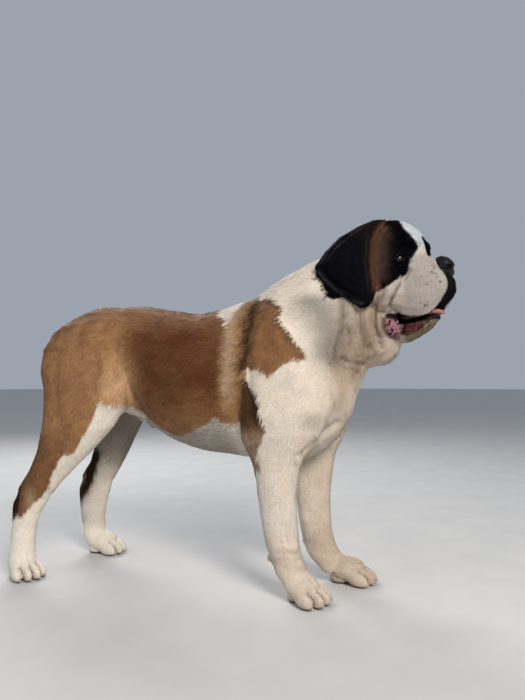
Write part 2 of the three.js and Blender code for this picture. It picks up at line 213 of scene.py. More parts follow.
def ring_quads(rings, around):
    """Faces of a tube whose points go round ring after ring."""
    ring = np.arange(rings - 1)[:, None] * around
    here = np.arange(around)
    after = (here + 1) % around
    quads = np.stack([ring + here, ring + after, ring + around + after, ring + around + here], -1)
    return quads.reshape(-1, 4)


def shown(name, mesh):
    piece = bpy.data.objects.new(name, mesh)
    bpy.context.scene.collection.objects.link(piece)
    return piece


def with_modifier(mesh, kind, groups=None, **settings):
    """The mesh that a modifier makes of this one."""
    holder = shown("holder", mesh)
    for group, members in (groups or {}).items():
        holder.vertex_groups.new(name=group).add(members.tolist(), 1.0, "REPLACE")
    modifier = holder.modifiers.new(kind, kind)
    for setting, value in settings.items():
        setattr(modifier, setting, value)
    depsgraph = bpy.context.evaluated_depsgraph_get()
    made = bpy.data.meshes.new_from_object(holder.evaluated_get(depsgraph))
    bpy.data.objects.remove(holder)
    return made


def links_of(faces):
    """The neighbours of all points in one list, where each point's begin, and how many it has."""
    starts = faces.ravel()
    ends = faces[:, [1, 2, 0]].ravel()
    order = np.argsort(starts, kind="stable")
    counts = np.bincount(starts)
    return ends[order], np.cumsum(counts) - counts, counts


def neighbour_mean(values, links):
    ends, firsts, counts = links
    totals = [np.add.reduceat(column[ends], firsts) for column in values.T]
    return (np.stack(totals) / counts).T


def smoothed(points, links, weight, rounds):
    """Smooths a mesh, and lets out again what smoothing alone would shrink."""
    for _ in range(rounds):
        for step in (0.6, -0.61):
            move = neighbour_mean(points, links) - points
            points = points + step * weight[:, None] * move
    return points


def rounded(points, faces, rounds):
    return smoothed(points, links_of(faces), np.ones(len(points)), rounds)


def averaged(points, links, weight, rounds):
    """Draws points to the mean of their neighbours, which levels ridges."""
    for _ in range(rounds):
        points = points + 0.5 * weight[:, None] * (neighbour_mean(points, links) - points)
    return points


def spread(values, links, rounds):
    """Evens out values over neighbouring points."""
    for _ in range(rounds):
        values = 0.5 * values + 0.5 * neighbour_mean(values[:, None], links)[:, 0]
    return values


def face_normals(points, faces):
    a, b, c = (points[faces[:, k]] for k in range(3))
    return np.cross(b - a, c - a)


def unit(vectors):
    return vectors / np.maximum(np.linalg.norm(vectors, axis=1), 1e-9)[:, None]


def point_normals(points, faces):
    across = face_normals(points, faces)
    normals = np.zeros_like(points)
    for corner in range(3):
        for axis in range(3):
            normals[:, axis] += np.bincount(faces[:, corner], across[:, axis], len(points))
    return unit(normals)


# Skin from the solids


def mesh_of(build, name):
    """Ends an edit and gives back its mesh."""
    mesh = bpy.data.meshes.new(name)
    build.to_mesh(mesh)
    build.free()
    return mesh


def swollen(node, by):
    """A node's own mesh, welded and let out along its normals."""
    build = bmesh.new()
    build.from_mesh(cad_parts[node].data)
    bmesh.ops.remove_doubles(build, verts=build.verts, dist=1e-5)
    bmesh.ops.recalc_face_normals(build, faces=build.faces)
    build.normal_update()
    for vert in build.verts:
        vert.co += vert.normal * by * MM
    return mesh_of(build, node)


def fused(nodes, by, voxel):
    """Points and triangles of one closed surface round several nodes."""
    build = bmesh.new()
    for node in nodes:
        build.from_mesh(swollen(node, by))
    mesh = mesh_of(build, "fused")
    return mesh_arrays(with_modifier(mesh, "REMESH", mode="VOXEL", voxel_size=voxel * MM))


def nearest_regions(points):
    """For each point the number, in REGIONS, of the node that it is nearest to."""
    corners, faces, owners = [], [], []
    for number, node in enumerate(REGIONS):
        places, triangles = mesh_arrays(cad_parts[node].data)
        faces.append(triangles + sum(len(c) for c in corners))
        corners.append(places)
        owners += [number] * len(triangles)
    tree = BVHTree.FromPolygons(np.vstack(corners).tolist(), np.vstack(faces).tolist())
    return np.array([owners[tree.find_nearest(p)[2]] for p in points.tolist()])


def along_joints(regions, links, rounds):
    """1 where two nodes meet, falling off over so many rings of points."""
    ends, firsts, counts = links
    other = np.repeat(regions, counts) != regions[ends]
    joint = np.logical_or.reduceat(other, firsts).astype(float)
    return np.clip(3 * spread(joint, links, rounds), 0, 1)


def is_in(regions, names):
    return np.isin(regions, [REGIONS.index(name) for name in names])


def thinned(points, faces, coarse, triangles):
    """Fewer triangles where coarse is true; the rest keep theirs."""
    mesh = mesh_from("dense", points, faces)
    return mesh_arrays(
        with_modifier(
            mesh,
            "DECIMATE",
            groups={"coarse": np.flatnonzero(coarse)},
            ratio=triangles / len(faces),
            vertex_group="coarse",
            vertex_group_factor=20.0,
        )
    )


def refined(points, faces, chosen):
    """Cuts each triangle whose three points are chosen into four."""
    build = bmesh.new()
    build.from_mesh(mesh_from("coarse", points, faces))
    build.verts.ensure_lookup_table()
    cut = [e for e in build.edges if chosen[e.verts[0].index] and chosen[e.verts[1].index]]
    bmesh.ops.subdivide_edges(build, edges=cut, cuts=1, use_grid_fill=True)
    bmesh.ops.triangulate(build, faces=build.faces)
    return mesh_arrays(mesh_of(build, "fine"))


# Forms of the head, left side, from the head's origin: width, height, path. Below 0 is a crease
HEAD_FORMS = [
    (12, -10.0, [(130, 0, 14), (122, 0, 40), (104, 0, 66), (78, 0, 92), (46, 0, 104)]),
    (10, 4.5, [(106, 27, 16), (100, 42, 30), (86, 58, 38), (62, 72, 30)]),
    (4, -2.8, [(98, 46, 14), (86, 62, 19), (68, 73, 16)]),
    (4, -2.2, [(104, 36, 26), (92, 54, 36), (76, 66, 40)]),
    (5, -3.2, [(100, 50, -14), (88, 64, -22), (72, 75, -24), (54, 82, -18)]),
    (7, 3.2, [(98, 54, -24), (84, 68, -34), (64, 80, -36)]),
    (5, -6.0, [(95, 58, -34), (84, 66, -54), (70, 76, -82), (56, 76, -106), (46, 68, -130)]),
    (9, 4.5, [(82, 72, -42), (66, 84, -66), (50, 86, -100), (36, 76, -126)]),
    (6, -7.5, [(40, 93, -74), (33, 90, -96), (14, 78, -128), (9, 72, -163), (17, 60, -191)]),
    (10, 4.5, [(26, 92, -82), (22, 84, -112), (22, 76, -140), (26, 68, -172)]),
    (6, -5.0, [(-16, 100, -96), (-23, 90, -124), (-22, 88, -156), (-20, 81, -187), (-16, 66, -219)]),
    (9, 4.5, [(-4, 90, -112), (-6, 82, -140), (-4, 76, -172), (0, 66, -204)]),
    (9, 4.0, [(-38, 100, -116), (-42, 98, -156), (-40, 90, -192), (-34, 70, -230)]),
    (6, -4.5, [(-65, 103, -97), (-59, 105, -130), (-60, 108, -171), (-70, 112, -208), (-76, 116, -246)]),
    (6, -5.5, [(-58, 100, -246), (-42, 78, -253), (-32, 40, -261)]),
    (6, -6.5, [(12, 64, -191), (13, 60, -203), (20, 40, -216), (30, 0, -222)]),
    (3, -2.8, [(188, 0, -50), (182, 0, -76), (178, 0, -100), (166, 0, -118)]),
    (4, -1.8, [(150, 30, -4), (152, 38, -22), (160, 38, -44), (172, 26, -56)]),
    (3, -1.4, [(138, 34, 0), (140, 46, -20), (146, 50, -40)]),
    (3, -1.2, [(126, 38, 2), (126, 52, -20), (128, 58, -42)]),
    (8, 2.4, [(158, 42, -70), (140, 54, -60), (118, 60, -56)]),
    (6, -2.2, [(150, 52, -84), (132, 60, -78), (112, 62, -80)]),
    (4, 2.0, [(60, 58, -146), (92, 62, -150), (120, 58, -148), (144, 44, -138), (164, 38, -112)]),
    (10, 5.5, [(42, 54, -158), (52, 48, -168), (60, 46, -182)]),
    (15, -5.5, [(92, 26, -194), (120, 24, -182), (142, 14, -164)]),
    (6, -2.5, [(40, 60, -140), (52, 54, -142), (66, 50, -146)]),
    (5, -4.0, [(29, 62, -150), (28, 60, -170), (38, 52, -192), (56, 46, -199)]),
    (4, -5.0, [(71, 42, -150), (75, 44, -165), (74, 44, -184)]),
    (4, 3.0, [(80, 44, -188), (104, 38, -183), (126, 30, -170)]),
    (7, -3.0, [(86, 42, -168), (104, 36, -166), (120, 30, -158)]),
    (4, 2.6, [(116, 36, -153), (136, 27, -147), (147, 10, -146), (148, 0, -147)]),
]

# Forms of the ears, left side, from the head's origin
EAR_FORMS = [
    (6, -3.0, [(8, 96, 70), (6, 104, 30), (6, 108, -20), (12, 106, -70)]),
    (5, 1.8, [(18, 92, 60), (17, 97, 0), (18, 100, -50), (20, 100, -90)]),
    (7, 4.5, [(-128, 98, -14), (-110, 104, -44), (-78, 106, -74), (-42, 105, -98), (-10, 100, -112)]),
    (5, -4.5, [(-114, 102, -14), (-94, 110, -44), (-62, 110, -74), (-30, 108, -90)]),
    (30, 4.0, [(-60, 108, 30), (-50, 112, -20)]),
    (8, -2.6, [(-20, 96, 80), (-50, 104, 50), (-84, 106, 22)]),
    (12, -2.4, [(-30, 110, 24), (-36, 114, -20), (-34, 110, -64)]),
]

# Upper front corner of the left ear, which is rounded
EAR_CORNER = (44, 54, 95)
EAR_CORNER_REACH = (19, 30, 19)
EAR_CORNER_ROUNDS = 120

# Forms of the body, left side
BODY_FORMS = [
    (16, -7.0, [(-150, 100, 700), (-160, 130, 620), (-160, 146, 540), (-150, 150, 450)]),
    (22, 5.0, [(-110, 100, 700), (-80, 130, 620), (-40, 134, 560), (-20, 128, 520)]),
    (13, -5.0, [(-26, 124, 352), (0, 112, 380), (24, 74, 408), (46, 60, 424)]),
    (12, -4.0, [(36, 0, 560), (44, 0, 500), (40, 0, 430), (20, 0, 370)]),
    (15, -6.5, [(-520, 100, 560), (-512, 106, 520), (-500, 96, 480), (-478, 70, 450)]),
    (20, 5.0, [(-560, 140, 620), (-556, 146, 540), (-560, 148, 480)]),
    (18, -5.0, [(-700, 130, 600), (-700, 140, 500), (-690, 146, 400)]),
    (8, -5.0, [(-745, 138, 330), (-770, 140, 280), (-792, 146, 235)]),
    (9, -3.6, [(-128, 120, 320), (-112, 112, 240), (-96, 104, 160)]),
    (8, 3.0, [(-66, 98, 330), (-58, 96, 240), (-50, 96, 150)]),
    (9, -4.0, [(-150, 140, 392), (-124, 148, 400), (-100, 146, 416)]),
    (10, 4.0, [(-92, 112, 140), (-72, 118, 132), (-48, 108, 128)]),
    (7, -3.0, [(-100, 108, 112), (-70, 118, 104), (-40, 108, 100)]),
]

# Places of the body that are levelled, left side, with their reach: where the neck meets each
# shoulder, the front of each upper arm, the top of each thigh
LEVELLED = [
    (38, [(-93, 103, 695), (-52, 114, 656), (-14, 118, 613), (46, 98, 553), (61, 89, 534)]),
    (24, [(-30, 154, 468), (38, 133, 475), (54, 109, 477), (50, 88, 469), (18, 84, 412)]),
    (28, [(-735, 65, 686), (-704, 88, 692), (-660, 104, 696), (-567, 111, 647), (-498, 112, 554)]),
]

# Backs of the pasterns, each with how far it is drawn in
PASTERNS = [
    ((-86, -91, 26), (15, -5, 7)),
    ((-34, 83, 24), (16, 0, 7)),
    ((-848, -134, 22), (4, 0, 0)),
    ((-776, 130, 22), (4, 0, 0)),
]
PASTERN_REACH = (27, 48, 25)


def both_sides(path):
    path = np.asarray(path, float)
    return [path] if not path[:, 1].any() else [path, path * (1, -1, 1)]


def within(points, path, reach):
    """Numbers of the points in a path's box, let out by a reach."""
    low, high = path.min(0) - reach, path.max(0) + reach
    return np.flatnonzero(((points > low) & (points < high)).all(1))


def formed(points, normals, forms):
    """Points raised or sunk along named paths."""
    lift = np.zeros(len(points))
    for width, height, path in forms:
        for side in both_sides(path):
            near = within(points, side, 3 * width)
            lift[near] += height * near_path(points[near], side, width)
    return points + normals * lift[:, None]


def head_formed(points, faces, forms):
    """As above, with paths and made points from the head's origin."""
    normals = turned(point_normals(points, faces), -HEAD_TURN)
    return formed(dog_to_head(points), normals, forms)


# Lids: eye axes are across towards the nose, up, and out of the head


def eye_axes(side):
    out = np.array([math.cos(EYE_FACES), side * math.sin(EYE_FACES), 0.05])
    out /= np.linalg.norm(out)
    across = np.array([math.sin(EYE_FACES), -side * math.cos(EYE_FACES), 0.0])
    up = np.cross(out, across) * side
    return np.stack([across, up * np.sign(up[2]), out], 1)


def eye_view(head_points, side):
    """Across, up and out of each point from an eye's middle, in eye radii."""
    return (head_points - EYE_AT * (1, side, 1)) @ eye_axes(side) / EYE_RADIUS


# The opening between the lids, in eye radii: half its width, its height above and below, how far
# it slants, the width of the lower lid's sag. Lids reach out past the eyeball, its bed does not
LID_WIDE = 0.70
UPPER_LID = 0.30
LOWER_LID = 0.42
LID_SLANT = 0.10
LID_SAG = 0.34
LID_REACH = 1.12
BED_REACH = 0.82

# Forms round the opening: how far outside it, width, height
LID_RIM = (0.13, 0.1, 0.10)
LID_FOLD = (0.42, 0.09, 0.10)
LID_BAG = (0.52, 0.2, 0.06)


def lid_opening(seen):
    """How far a direction is inside the opening between the lids, in eye radii."""
    across, up = seen[:, 0], seen[:, 1]
    arch = 1 - (across / LID_WIDE) ** 2
    top = UPPER_LID * arch - up + LID_SLANT * across
    sag = np.exp(-((across / LID_SAG) ** 2))
    bottom = up + LOWER_LID * (0.8 * arch + 0.2 * sag) - LID_SLANT * across
    return np.minimum(np.minimum(top, bottom), 0.8 * (LID_WIDE - np.abs(across)))


def lid_form(opening, outside, width, height):
    return height * np.exp(-(((opening + outside) / width) ** 2))


def seen_from_eye(head_points, side):
    """The view from an eye, how far off each point is, and how far inside the lids' opening."""
    seen = eye_view(head_points, side)
    reach = np.linalg.norm(seen, axis=1)
    return seen, reach, lid_opening(seen / np.maximum(reach, 1e-6)[:, None])


def with_lids(head_points):
    for side in (1, -1):
        seen, reach, opening = seen_from_eye(head_points, side)
        near = np.flatnonzero((reach < 2.6) & (seen[:, 2] > -0.2))
        seen, reach, opening = seen[near], reach[near], opening[near]
        front = step_between(seen[:, 2] / reach, 0.05, 0.4)
        upper = seen[:, 1] > 0
        lid = LID_REACH + lid_form(opening, *LID_RIM) + lid_form(opening, *LID_BAG) * ~upper
        outside = np.maximum(reach, lid) - lid_form(opening, *LID_FOLD) * upper
        inside = np.minimum(reach, BED_REACH)
        wanted = outside + (inside - outside) * step_between(opening, -0.03, 0.05)
        reach_new = reach + (wanted - reach) * front
        head_points[near] = (
            EYE_AT * (1, side, 1)
            + (seen * (reach_new / reach)[:, None] * EYE_RADIUS) @ eye_axes(side).T
        )
    return head_points


def eye_nearness(head_points):
    """Distance from the nearer eye, in eye radii."""
    return np.minimum(*(np.linalg.norm(eye_view(head_points, side), axis=1) for side in (1, -1)))


# Paws: place of each, how far it turns, and its length and width beside the fore paws
PAW_PLACES = {
    "right_fore_paw": (-44, -92, -24, 1.0, 1.0),
    "left_fore_paw": (38, 80, -2, 1.0, 1.0),
    "right_hind_paw": (-814, -134, -26, 0.92, 0.9),
    "left_hind_paw": (-732, 130, 4, 0.92, 0.9),
}
TOES = (-35, -12.5, 12.5, 35)
GAPS = (-24, 0, 24)
GAP_DEPTH = 3.2
GAP_WIDTH = 2.8
GAP_START = 36  # ahead of the paw's place
GAP_LENGTH = 45


def toe_gap(local, between, length):
    """1 down the middle of the gap between two toes, which fan out forwards."""
    forward = (local[:, 0] / length - GAP_START) / GAP_LENGTH
    away = local[:, 1] - between * (1.0 + 0.1 * forward)
    return np.exp(-((away / GAP_WIDTH) ** 2)) * step_between(forward, -0.1, 0.25)


def with_toe_gaps(points, normals, regions):
    """Sinks the gaps between the toes of each paw."""
    deep = np.zeros(len(points))
    for paw, (x, y, turn, length, width) in PAW_PLACES.items():
        local = turned(points - (x, y, 0), math.radians(-turn))
        for between in GAPS:
            deep += is_in(regions, [paw]) * toe_gap(local, between * width, length)
    return points - GAP_DEPTH * normals * deep[:, None]


def built_skin():
    points, faces = fused(FLESH, SWELL, VOXEL)
    regions = nearest_regions(points)
    face = is_in(regions, FACE)
    paws = is_in(regions, PAWS)
    weight = np.where(face, FACE_SMOOTHING, np.where(paws, PAW_SMOOTHING, 1.0))
    links = links_of(faces)
    weight = spread(weight, links, BORDER_ROUNDS[0])
    points = smoothed(points, links, weight, SMOOTHING_ROUNDS[0])
    points, faces = thinned(points, faces, ~(face | paws), SKIN_TRIANGLES)
    for reach in EYE_REFINED:
        points, faces = refined(points, faces, eye_nearness(dog_to_head(points)) < reach)
    regions = nearest_regions(points)
    links = links_of(faces)
    weight = spread(np.where(is_in(regions, FACE + PAWS), 0.0, 1.0), links, BORDER_ROUNDS[1])
    points = smoothed(points, links, weight, SMOOTHING_ROUNDS[1])
    level = along_joints(regions, links, JOINT_REACH) * ~is_in(regions, FACE)
    for reach, path in LEVELLED:
        for side in both_sides(path):
            level = np.maximum(level, near_path(points, side, reach))
    for place, move in PASTERNS:
        near = bump_at(points, place, PASTERN_REACH)
        points = points + near[:, None] * np.array(move)
        level = np.maximum(level, near)
    points = averaged(points, links, level, LEVEL_ROUNDS)
    points = formed(points, point_normals(points, faces), BODY_FORMS)
    points = with_toe_gaps(points, point_normals(points, faces), regions)
    head = head_formed(points, faces, HEAD_FORMS)
    return head_to_dog(with_lids(head)), faces, regions


def built_ears():
    points, faces = fused(EARS, 0.0, EAR_VOXEL)
    points = rounded(points, faces, EAR_ROUNDS)
    corner = bump_at(mirrored(dog_to_head(points)), EAR_CORNER, EAR_CORNER_REACH)
    points = averaged(points, links_of(faces), corner, EAR_CORNER_ROUNDS)
    regions = nearest_regions(points)
    head = dog_to_head(points)
    normals = turned(point_normals(points, faces), -HEAD_TURN)
    outer = normals[:, 1] * np.sign(head[:, 1]) > -0.2
    head = np.where(outer[:, None], formed(head, normals, EAR_FORMS), head)
    return head_to_dog(head), faces, regions


def joined_arrays(*parts):
    points, faces, regions = [], [], []
    for places, triangles, owners in parts:
        faces.append(triangles + sum(len(p) for p in points))
        points.append(places)
        regions.append(owners)
    return np.vstack(points), np.vstack(faces), np.concatenate(regions)


# Colours, as seen on the coat in even light, and some that paint in light and shade


def colour(red, green, blue):
    """Linear colour of 0 to 255 display values."""
    share = np.array([red, green, blue]) / 255
    return np.where(share < 0.04045, share / 12.92, ((share + 0.055) / 1.055) ** 2.4)


WHITE = colour(236, 225, 210)
COOL_WHITE = colour(220, 214, 206)
CREAM = colour(166, 139, 112)
NECK_CREAM = colour(138, 113, 92)
# painted shade for the side of the neck
NECK_SIDE_SHADE = colour(112, 110, 104)
# painted shade for the white of the front half
FRONT_SHADED_WHITE = colour(222, 209, 192)
# olive-grey fur, with painted shade under the ear
GREY_FUR_AND_SHADE = colour(98, 85, 68)
TAN = colour(150, 110, 74)
# painted highlight for the point of the hip
GOLDEN_HIP_HIGHLIGHT = colour(190, 152, 114)
RED_BROWN = colour(83, 46, 26)
BACK_BROWN = colour(143, 106, 78)
PALE_BAND = colour(176, 150, 122)
# dark brown hair, and painted shade in the crease behind the shoulder and down the throat
DARK_BROWN_AND_SHADE = colour(43, 28, 19)
ELBOW_BROWN = colour(150, 124, 104)
SORE = colour(120, 52, 46)
BLACK = colour(3, 3, 5)
EAR_BLACK = colour(9, 9, 15)
CHEEK_BROWN = colour(70, 55, 47)
STRIPE_BROWN = colour(90, 62, 46)
EAR_SHEEN = colour(32, 19, 14)
# painted highlight on the ears' edges
EAR_HIGHLIGHT_GREY = colour(82, 76, 76)
# grey muzzle fur, with painted shade
MUZZLE_GREY_AND_SHADE = colour(150, 143, 138)
# painted cool shade for the top of the head
FOREHEAD_SHADE_WHITE = colour(176, 182, 188)
FACE_WHITE = colour(168, 161, 153)
# painted shade on white fur
SHADE_GREY = colour(152, 146, 134)
# painted shade inside the thigh
INNER_THIGH_SHADE = colour(116, 106, 94)
JAW_FUR = colour(128, 104, 72)
LIP_BLACK = colour(20, 17, 19)
LIP_PINK = colour(156, 110, 118)
LIP_BROWN = colour(96, 74, 64)
MOUTH_RED = colour(84, 44, 42)
# dark specks of the inner lip, and painted shade inside the mouth
MOUTH_DARK_AND_SHADE = colour(34, 16, 16)
HAW = colour(44, 28, 28)
# painted shade for the gaps between the toes
TOE_GAP_SHADE = colour(96, 54, 46)
PAD = colour(70, 58, 56)

# Outlines of the markings seen from the side: x, z
SADDLE = [
    (-900, 900), (-900, 140), (-812, 160), (-801, 160), (-781, 177), (-764, 202),
    (-745, 218), (-724, 243), (-713, 266), (-703, 293), (-684, 321), (-668, 340),
    (-637, 348), (-615, 380), (-596, 415), (-579, 444), (-573, 468), (-562, 480),
    (-543, 470), (-521, 468), (-504, 462), (-483, 447), (-455, 431), (-429, 407),
    (-398, 392), (-364, 383), (-328, 394), (-295, 406), (-268, 423), (-248, 444),
    (-228, 434), (-203, 427), (-178, 428), (-176, 330), (-150, 290), (-137, 318),
    (-136, 350), (-129, 370), (-119, 388), (-113, 403), (-105, 415), (-115, 438),
    (-125, 462), (-123, 481), (-129, 500), (-140, 514), (-155, 520), (-165, 545),
    (-163, 566), (-150, 560), (-131, 563), (-117, 555), (-101, 548), (-82, 558),
    (-68, 570), (-49, 582), (-26, 585), (-9, 586), (-22, 606), (-37, 623),
    (-56, 648), (-82, 682), (-81, 713), (-97, 733), (-125, 745), (-142, 741),
    (-158, 752), (-160, 900),
]
WITHERS_WHITE = [
    (-264, 900), (-264, 730), (-254, 699), (-230, 690), (-216, 664), (-213, 691),
    (-206, 711), (-194, 728), (-184, 748), (-182, 900),
]

# Outline of the dark mask seen from the side of the head: x, z
MASK = [
    (50, 130), (58, 100), (71, 82), (80, 68), (100, 47), (112, 31), (112, 15), (107, 4),
    (98, -10), (88, -44),
    (79, -53), (69, -64), (58, -72), (47, -77), (30, -86), (4, -92), (-30, -92),
    (-62, -94), (-78, -101), (-98, -90), (-112, -64), (-120, -36), (-118, 6),
    (-96, 44), (-66, 76), (-30, 130),
]

# Dark front edge of the shoulder's patch: x, z
SHOULDER_EDGE = [(-125, 745), (-97, 733), (-81, 713), (-82, 682), (-56, 648), (-22, 606)]

# Cream fold down the front of the neck, and painted shade in the hollow below the point of the shoulder
THROAT_FOLD = [(47, 93, 568), (62, 83, 534), (68, 75, 505), (60, 75, 470)]
CHEST_HOLLOW_SHADE = ((6, 142, 440), (30, 60, 19))

# Dark hair down the back of the left hock
FAR_HOCK_EDGE = [
    (-725, 89, 312), (-744, 97, 271), (-759, 100, 230), (-780, 106, 191), (-796, 114, 170),
]

# Zones of the brown fur: colour, strength, then the spans of x and z where it fades in and out
BROWN_ZONES = [
    (BACK_BROWN, 0.6, (None, None), ((640, 730), None)),
    (RED_BROWN, 0.4, ((-330, -260), (-250, -230)), ((640, 730), None)),
    (RED_BROWN, 0.34, ((-175, -140), None), ((500, 540), None)),
    (RED_BROWN, 0.42, (None, (-680, -620)), (None, (330, 440))),
]

# Zones of the white fur: as above, after the spans of y
WHITE_ZONES = [
    (CREAM, 0.3, (None, None), ((-10, 60), None), ((330, 420), (600, 700))),
    # painted shade under the belly and inside the left thigh
    (SHADE_GREY, 0.8, (None, None), ((-500, -460), (-230, -170)), ((300, 340), (440, 500))),
    (INNER_THIGH_SHADE, 0.8, ((30, 31), None), (None, (-500, -470)), ((220, 340), None)),
    (INNER_THIGH_SHADE, 0.25, ((30, 31), None), (None, (-500, -470)), ((70, 110), None)),
    (CREAM, 0.3, (None, None), ((-160, -100), None), (None, (80, 200))),
    (CREAM, 0.35, ((20, 60), None), ((-60, -20), None), (None, (300, 420))),
]


def mixed(base, over, share):
    return base + (over - base) * share[:, None]


def zone(values, rise=None, fall=None):
    """1 between two spans of values, fading over each; a span may be left out."""
    share = np.ones(len(values))
    if rise:
        share = share * step_between(values, *rise)
    if fall:
        share = share * (1 - step_between(values, *fall))
    return share


def brown_share(points, place):
    """1 on the brown patches and 0 on the white. The insides of the legs are white, which on the
    left hind leg reaches further out at the front."""
    side_view = place[:, [0, 2]]
    saddle = outline_depth(side_view, SADDLE)
    saddle = np.minimum(saddle, -outline_depth(side_view, WITHERS_WHITE))
    x, y, z = points.T
    inner = (np.abs(y) < 73) & (z < 400)
    leg_axis = -687 + 0.515 * (z - 314)
    rear = step_between(leg_axis - x, 0, 40)
    inner |= (y > 30) & (y < 132 - 34 * rear) & (x < -480) & (z < 450)
    return step_between(np.where(inner, -20, saddle), -2.5, 2.5)


def brown_fur(points, place):
    """The saddle: darker on the flank, with a pale band behind the shoulder and then painted shade in the
    crease between shoulder and barrel, and a painted highlight on the point of the hip.
    """
    side_view = place[:, [0, 2]]
    x, z = side_view.T
    soft = 0.5 + 0.5 * lattice_noise(points, 60, 11)
    flank = zone(x, (-545, -470), (-240, -205)) * zone(z, (395, 470)) * (0.75 + 0.25 * soft)
    flank *= (1 - 0.55 * zone(z, (640, 730))) * (1 - 0.45 * zone(z, fall=(450, 540)))
    brown = mixed(TAN, RED_BROWN, flank)
    for tone, strength, along, up in BROWN_ZONES:
        brown = mixed(brown, tone, strength * zone(x, *along) * zone(z, *up))
    # painted highlight on the point of the hip
    brown = mixed(brown, GOLDEN_HIP_HIGHLIGHT, bump_at(side_view, (-522, 512), (44, 62)))
    brown = mixed(brown, PALE_BAND, 0.7 * bump_at(side_view, (-770, 214), (16, 30)))
    band = np.exp(-(((x + 203) / 15) ** 2)) * zone(z, (440, 520))
    brown = mixed(brown, PALE_BAND, 0.9 * band)
    # painted shade in the crease between shoulder and barrel
    stripe_at = -166 + 0.08 * (z - 620)
    stripe = np.exp(-(((x - stripe_at) / 13) ** 2)) * zone(z, (535, 570))
    brown = mixed(brown, DARK_BROWN_AND_SHADE, 0.95 * stripe)
    dark_elbow = zone(x, (-188, -164)) * (z < 535) * zone(z, (395, 440))
    brown = mixed(brown, DARK_BROWN_AND_SHADE, dark_elbow * (0.8 + 0.2 * soft))
    brown = mixed(brown, ELBOW_BROWN, (x > -178) * (z < 535) * zone(z, fall=(400, 430)))
    hock = np.clip(1.5 * bump_at(side_view, (-826, 206), (22, 52)), 0, 1)
    brown = mixed(brown, DARK_BROWN_AND_SHADE, hock * zone(x, fall=(-800, -770)))
    brown = mixed(brown, DARK_BROWN_AND_SHADE, 0.6 * near_path(side_view, SHOULDER_EDGE, 13))
    mottle = 0.6 * lattice_noise(points * (0.5, 1, 1), 9, 13) + 0.4 * lattice_noise(points, 26, 14)
    return brown * (1 + 0.24 * mottle)[:, None]


def white_fur(points, place):
    """White, cooler in patches, cream on the front and feet, with painted shade that darkens the front
    half and greys the belly, the inner thigh and the hollow below the shoulder.
    """
    x, z = place[:, 0], place[:, 2]
    cool = 0.5 + 0.5 * lattice_noise(points, 70, 21)
    # painted shade darkens the white of the front half
    white = mixed(WHITE, FRONT_SHADED_WHITE, zone(x, (-350, -60)))
    white = mixed(white, COOL_WHITE, 0.5 * cool)
    for tone, strength, out, along, up in WHITE_ZONES:
        share = zone(points[:, 1], *out) * zone(x, *along) * zone(z, *up)
        white = mixed(white, tone, strength * share)
    sided = mirrored(points)
    white = mixed(white, CREAM, 0.5 * near_path(sided, THROAT_FOLD, 20))
    # painted shade in the hollow below the point of the shoulder
    return mixed(white, SHADE_GREY, 0.6 * bump_at(sided, *CHEST_HOLLOW_SHADE))


def body_colour(points, ragged):
    """Markings of the body and its painted light and shade, alike on skin and coat, with borders that
    drift on the left side.
    """
    left = step_between(points[:, 1], -10, 40)
    place = points + ragged + noise_vector(points, 110, 5) * 26 * left[:, None]
    made = mixed(white_fur(points, place), brown_fur(points, place), brown_share(points, place))
    edge = near_path(points + ragged, FAR_HOCK_EDGE, 19)
    made = mixed(made, DARK_BROWN_AND_SHADE, np.clip(1.5 * edge, 0, 1))
    sore = bump_at(points, (-131, -138, 326), (6, 14, 14))
    return mixed(made, SORE, np.clip(sore * 1.5, 0, 1) * 0.8)


# On the head's left side: the stripe before the ear, and dark flecks of the muzzle with their size
EAR_STRIPE = [(44, 92), (30, 66), (21, 30), (18, 0), (20, -40), (27, -80), (34, -96)]
FLECKS = [
    ((150, 46, -34), 3), ((147, 53, -44), 3.4), ((152, 51, -47), 2.6), ((157, 49, -50), 2.4),
    ((149, 45, -28), 2.2), ((140, 29, -16), 2), ((124, 61, -55), 2.4), ((136, 62, -73), 2.4),
    ((132, 58, -121), 4.5), ((138, 58, -114), 3), ((128, 60, -127), 3), ((165, 50, -68), 4),
    ((158, 52, -58), 2.2),
]

# Black skin round the left half of the nose
NOSE_RIM = [(158, 24, -18), (162, 33, -28), (166, 33, -38), (172, 28, -48), (182, 8, -54)]


def fold_shade(head_points):
    """How deep a point lies in a crease of the head, from 0 to 1."""
    deep = np.zeros(len(head_points))
    for width, height, path in HEAD_FORMS:
        if height > -2.5 or width > 8:
            continue
        for side in both_sides(path):
            near = within(head_points, side, 2.5 * width)
            deep[near] = np.maximum(deep[near], near_path(head_points[near], side, 0.75 * width))
    return deep


def mask_share(place):
    """1 on the dark mask, which leaves the blaze free between its halves."""
    x, y, z = place.T
    side_view = place[:, [0, 2]] - np.outer((y > 0) * 16, (1, 0))
    far_edge = 5 + 26 * step_between(z, 50, 66) * (1 - step_between(x, 30, 60) * 0.4)
    halves = np.where(y > 0, y - far_edge, -2 - y)
    return step_between(np.minimum(halves, outline_depth(side_view, MASK)), -2.6, 2.6)


def mask_fur(head_points, place):
    """Black, with a brown cheek and the stripe before the ear."""
    x, y, z = place.T
    cheek = zone(x, (-10, 20), (26, 68)) * step_between(np.abs(y), 44, 66)
    cheek *= step_between(z, -96, -40) * (0.75 + 0.25 * lattice_noise(head_points, 9, 35))
    stripe = near_path(place[:, [0, 2]], EAR_STRIPE, 7.5) * step_between(np.abs(y), 44, 58)
    return mixed(mixed(BLACK, CHEEK_BROWN, 0.9 * cheek), STRIPE_BROWN, 0.9 * stripe)


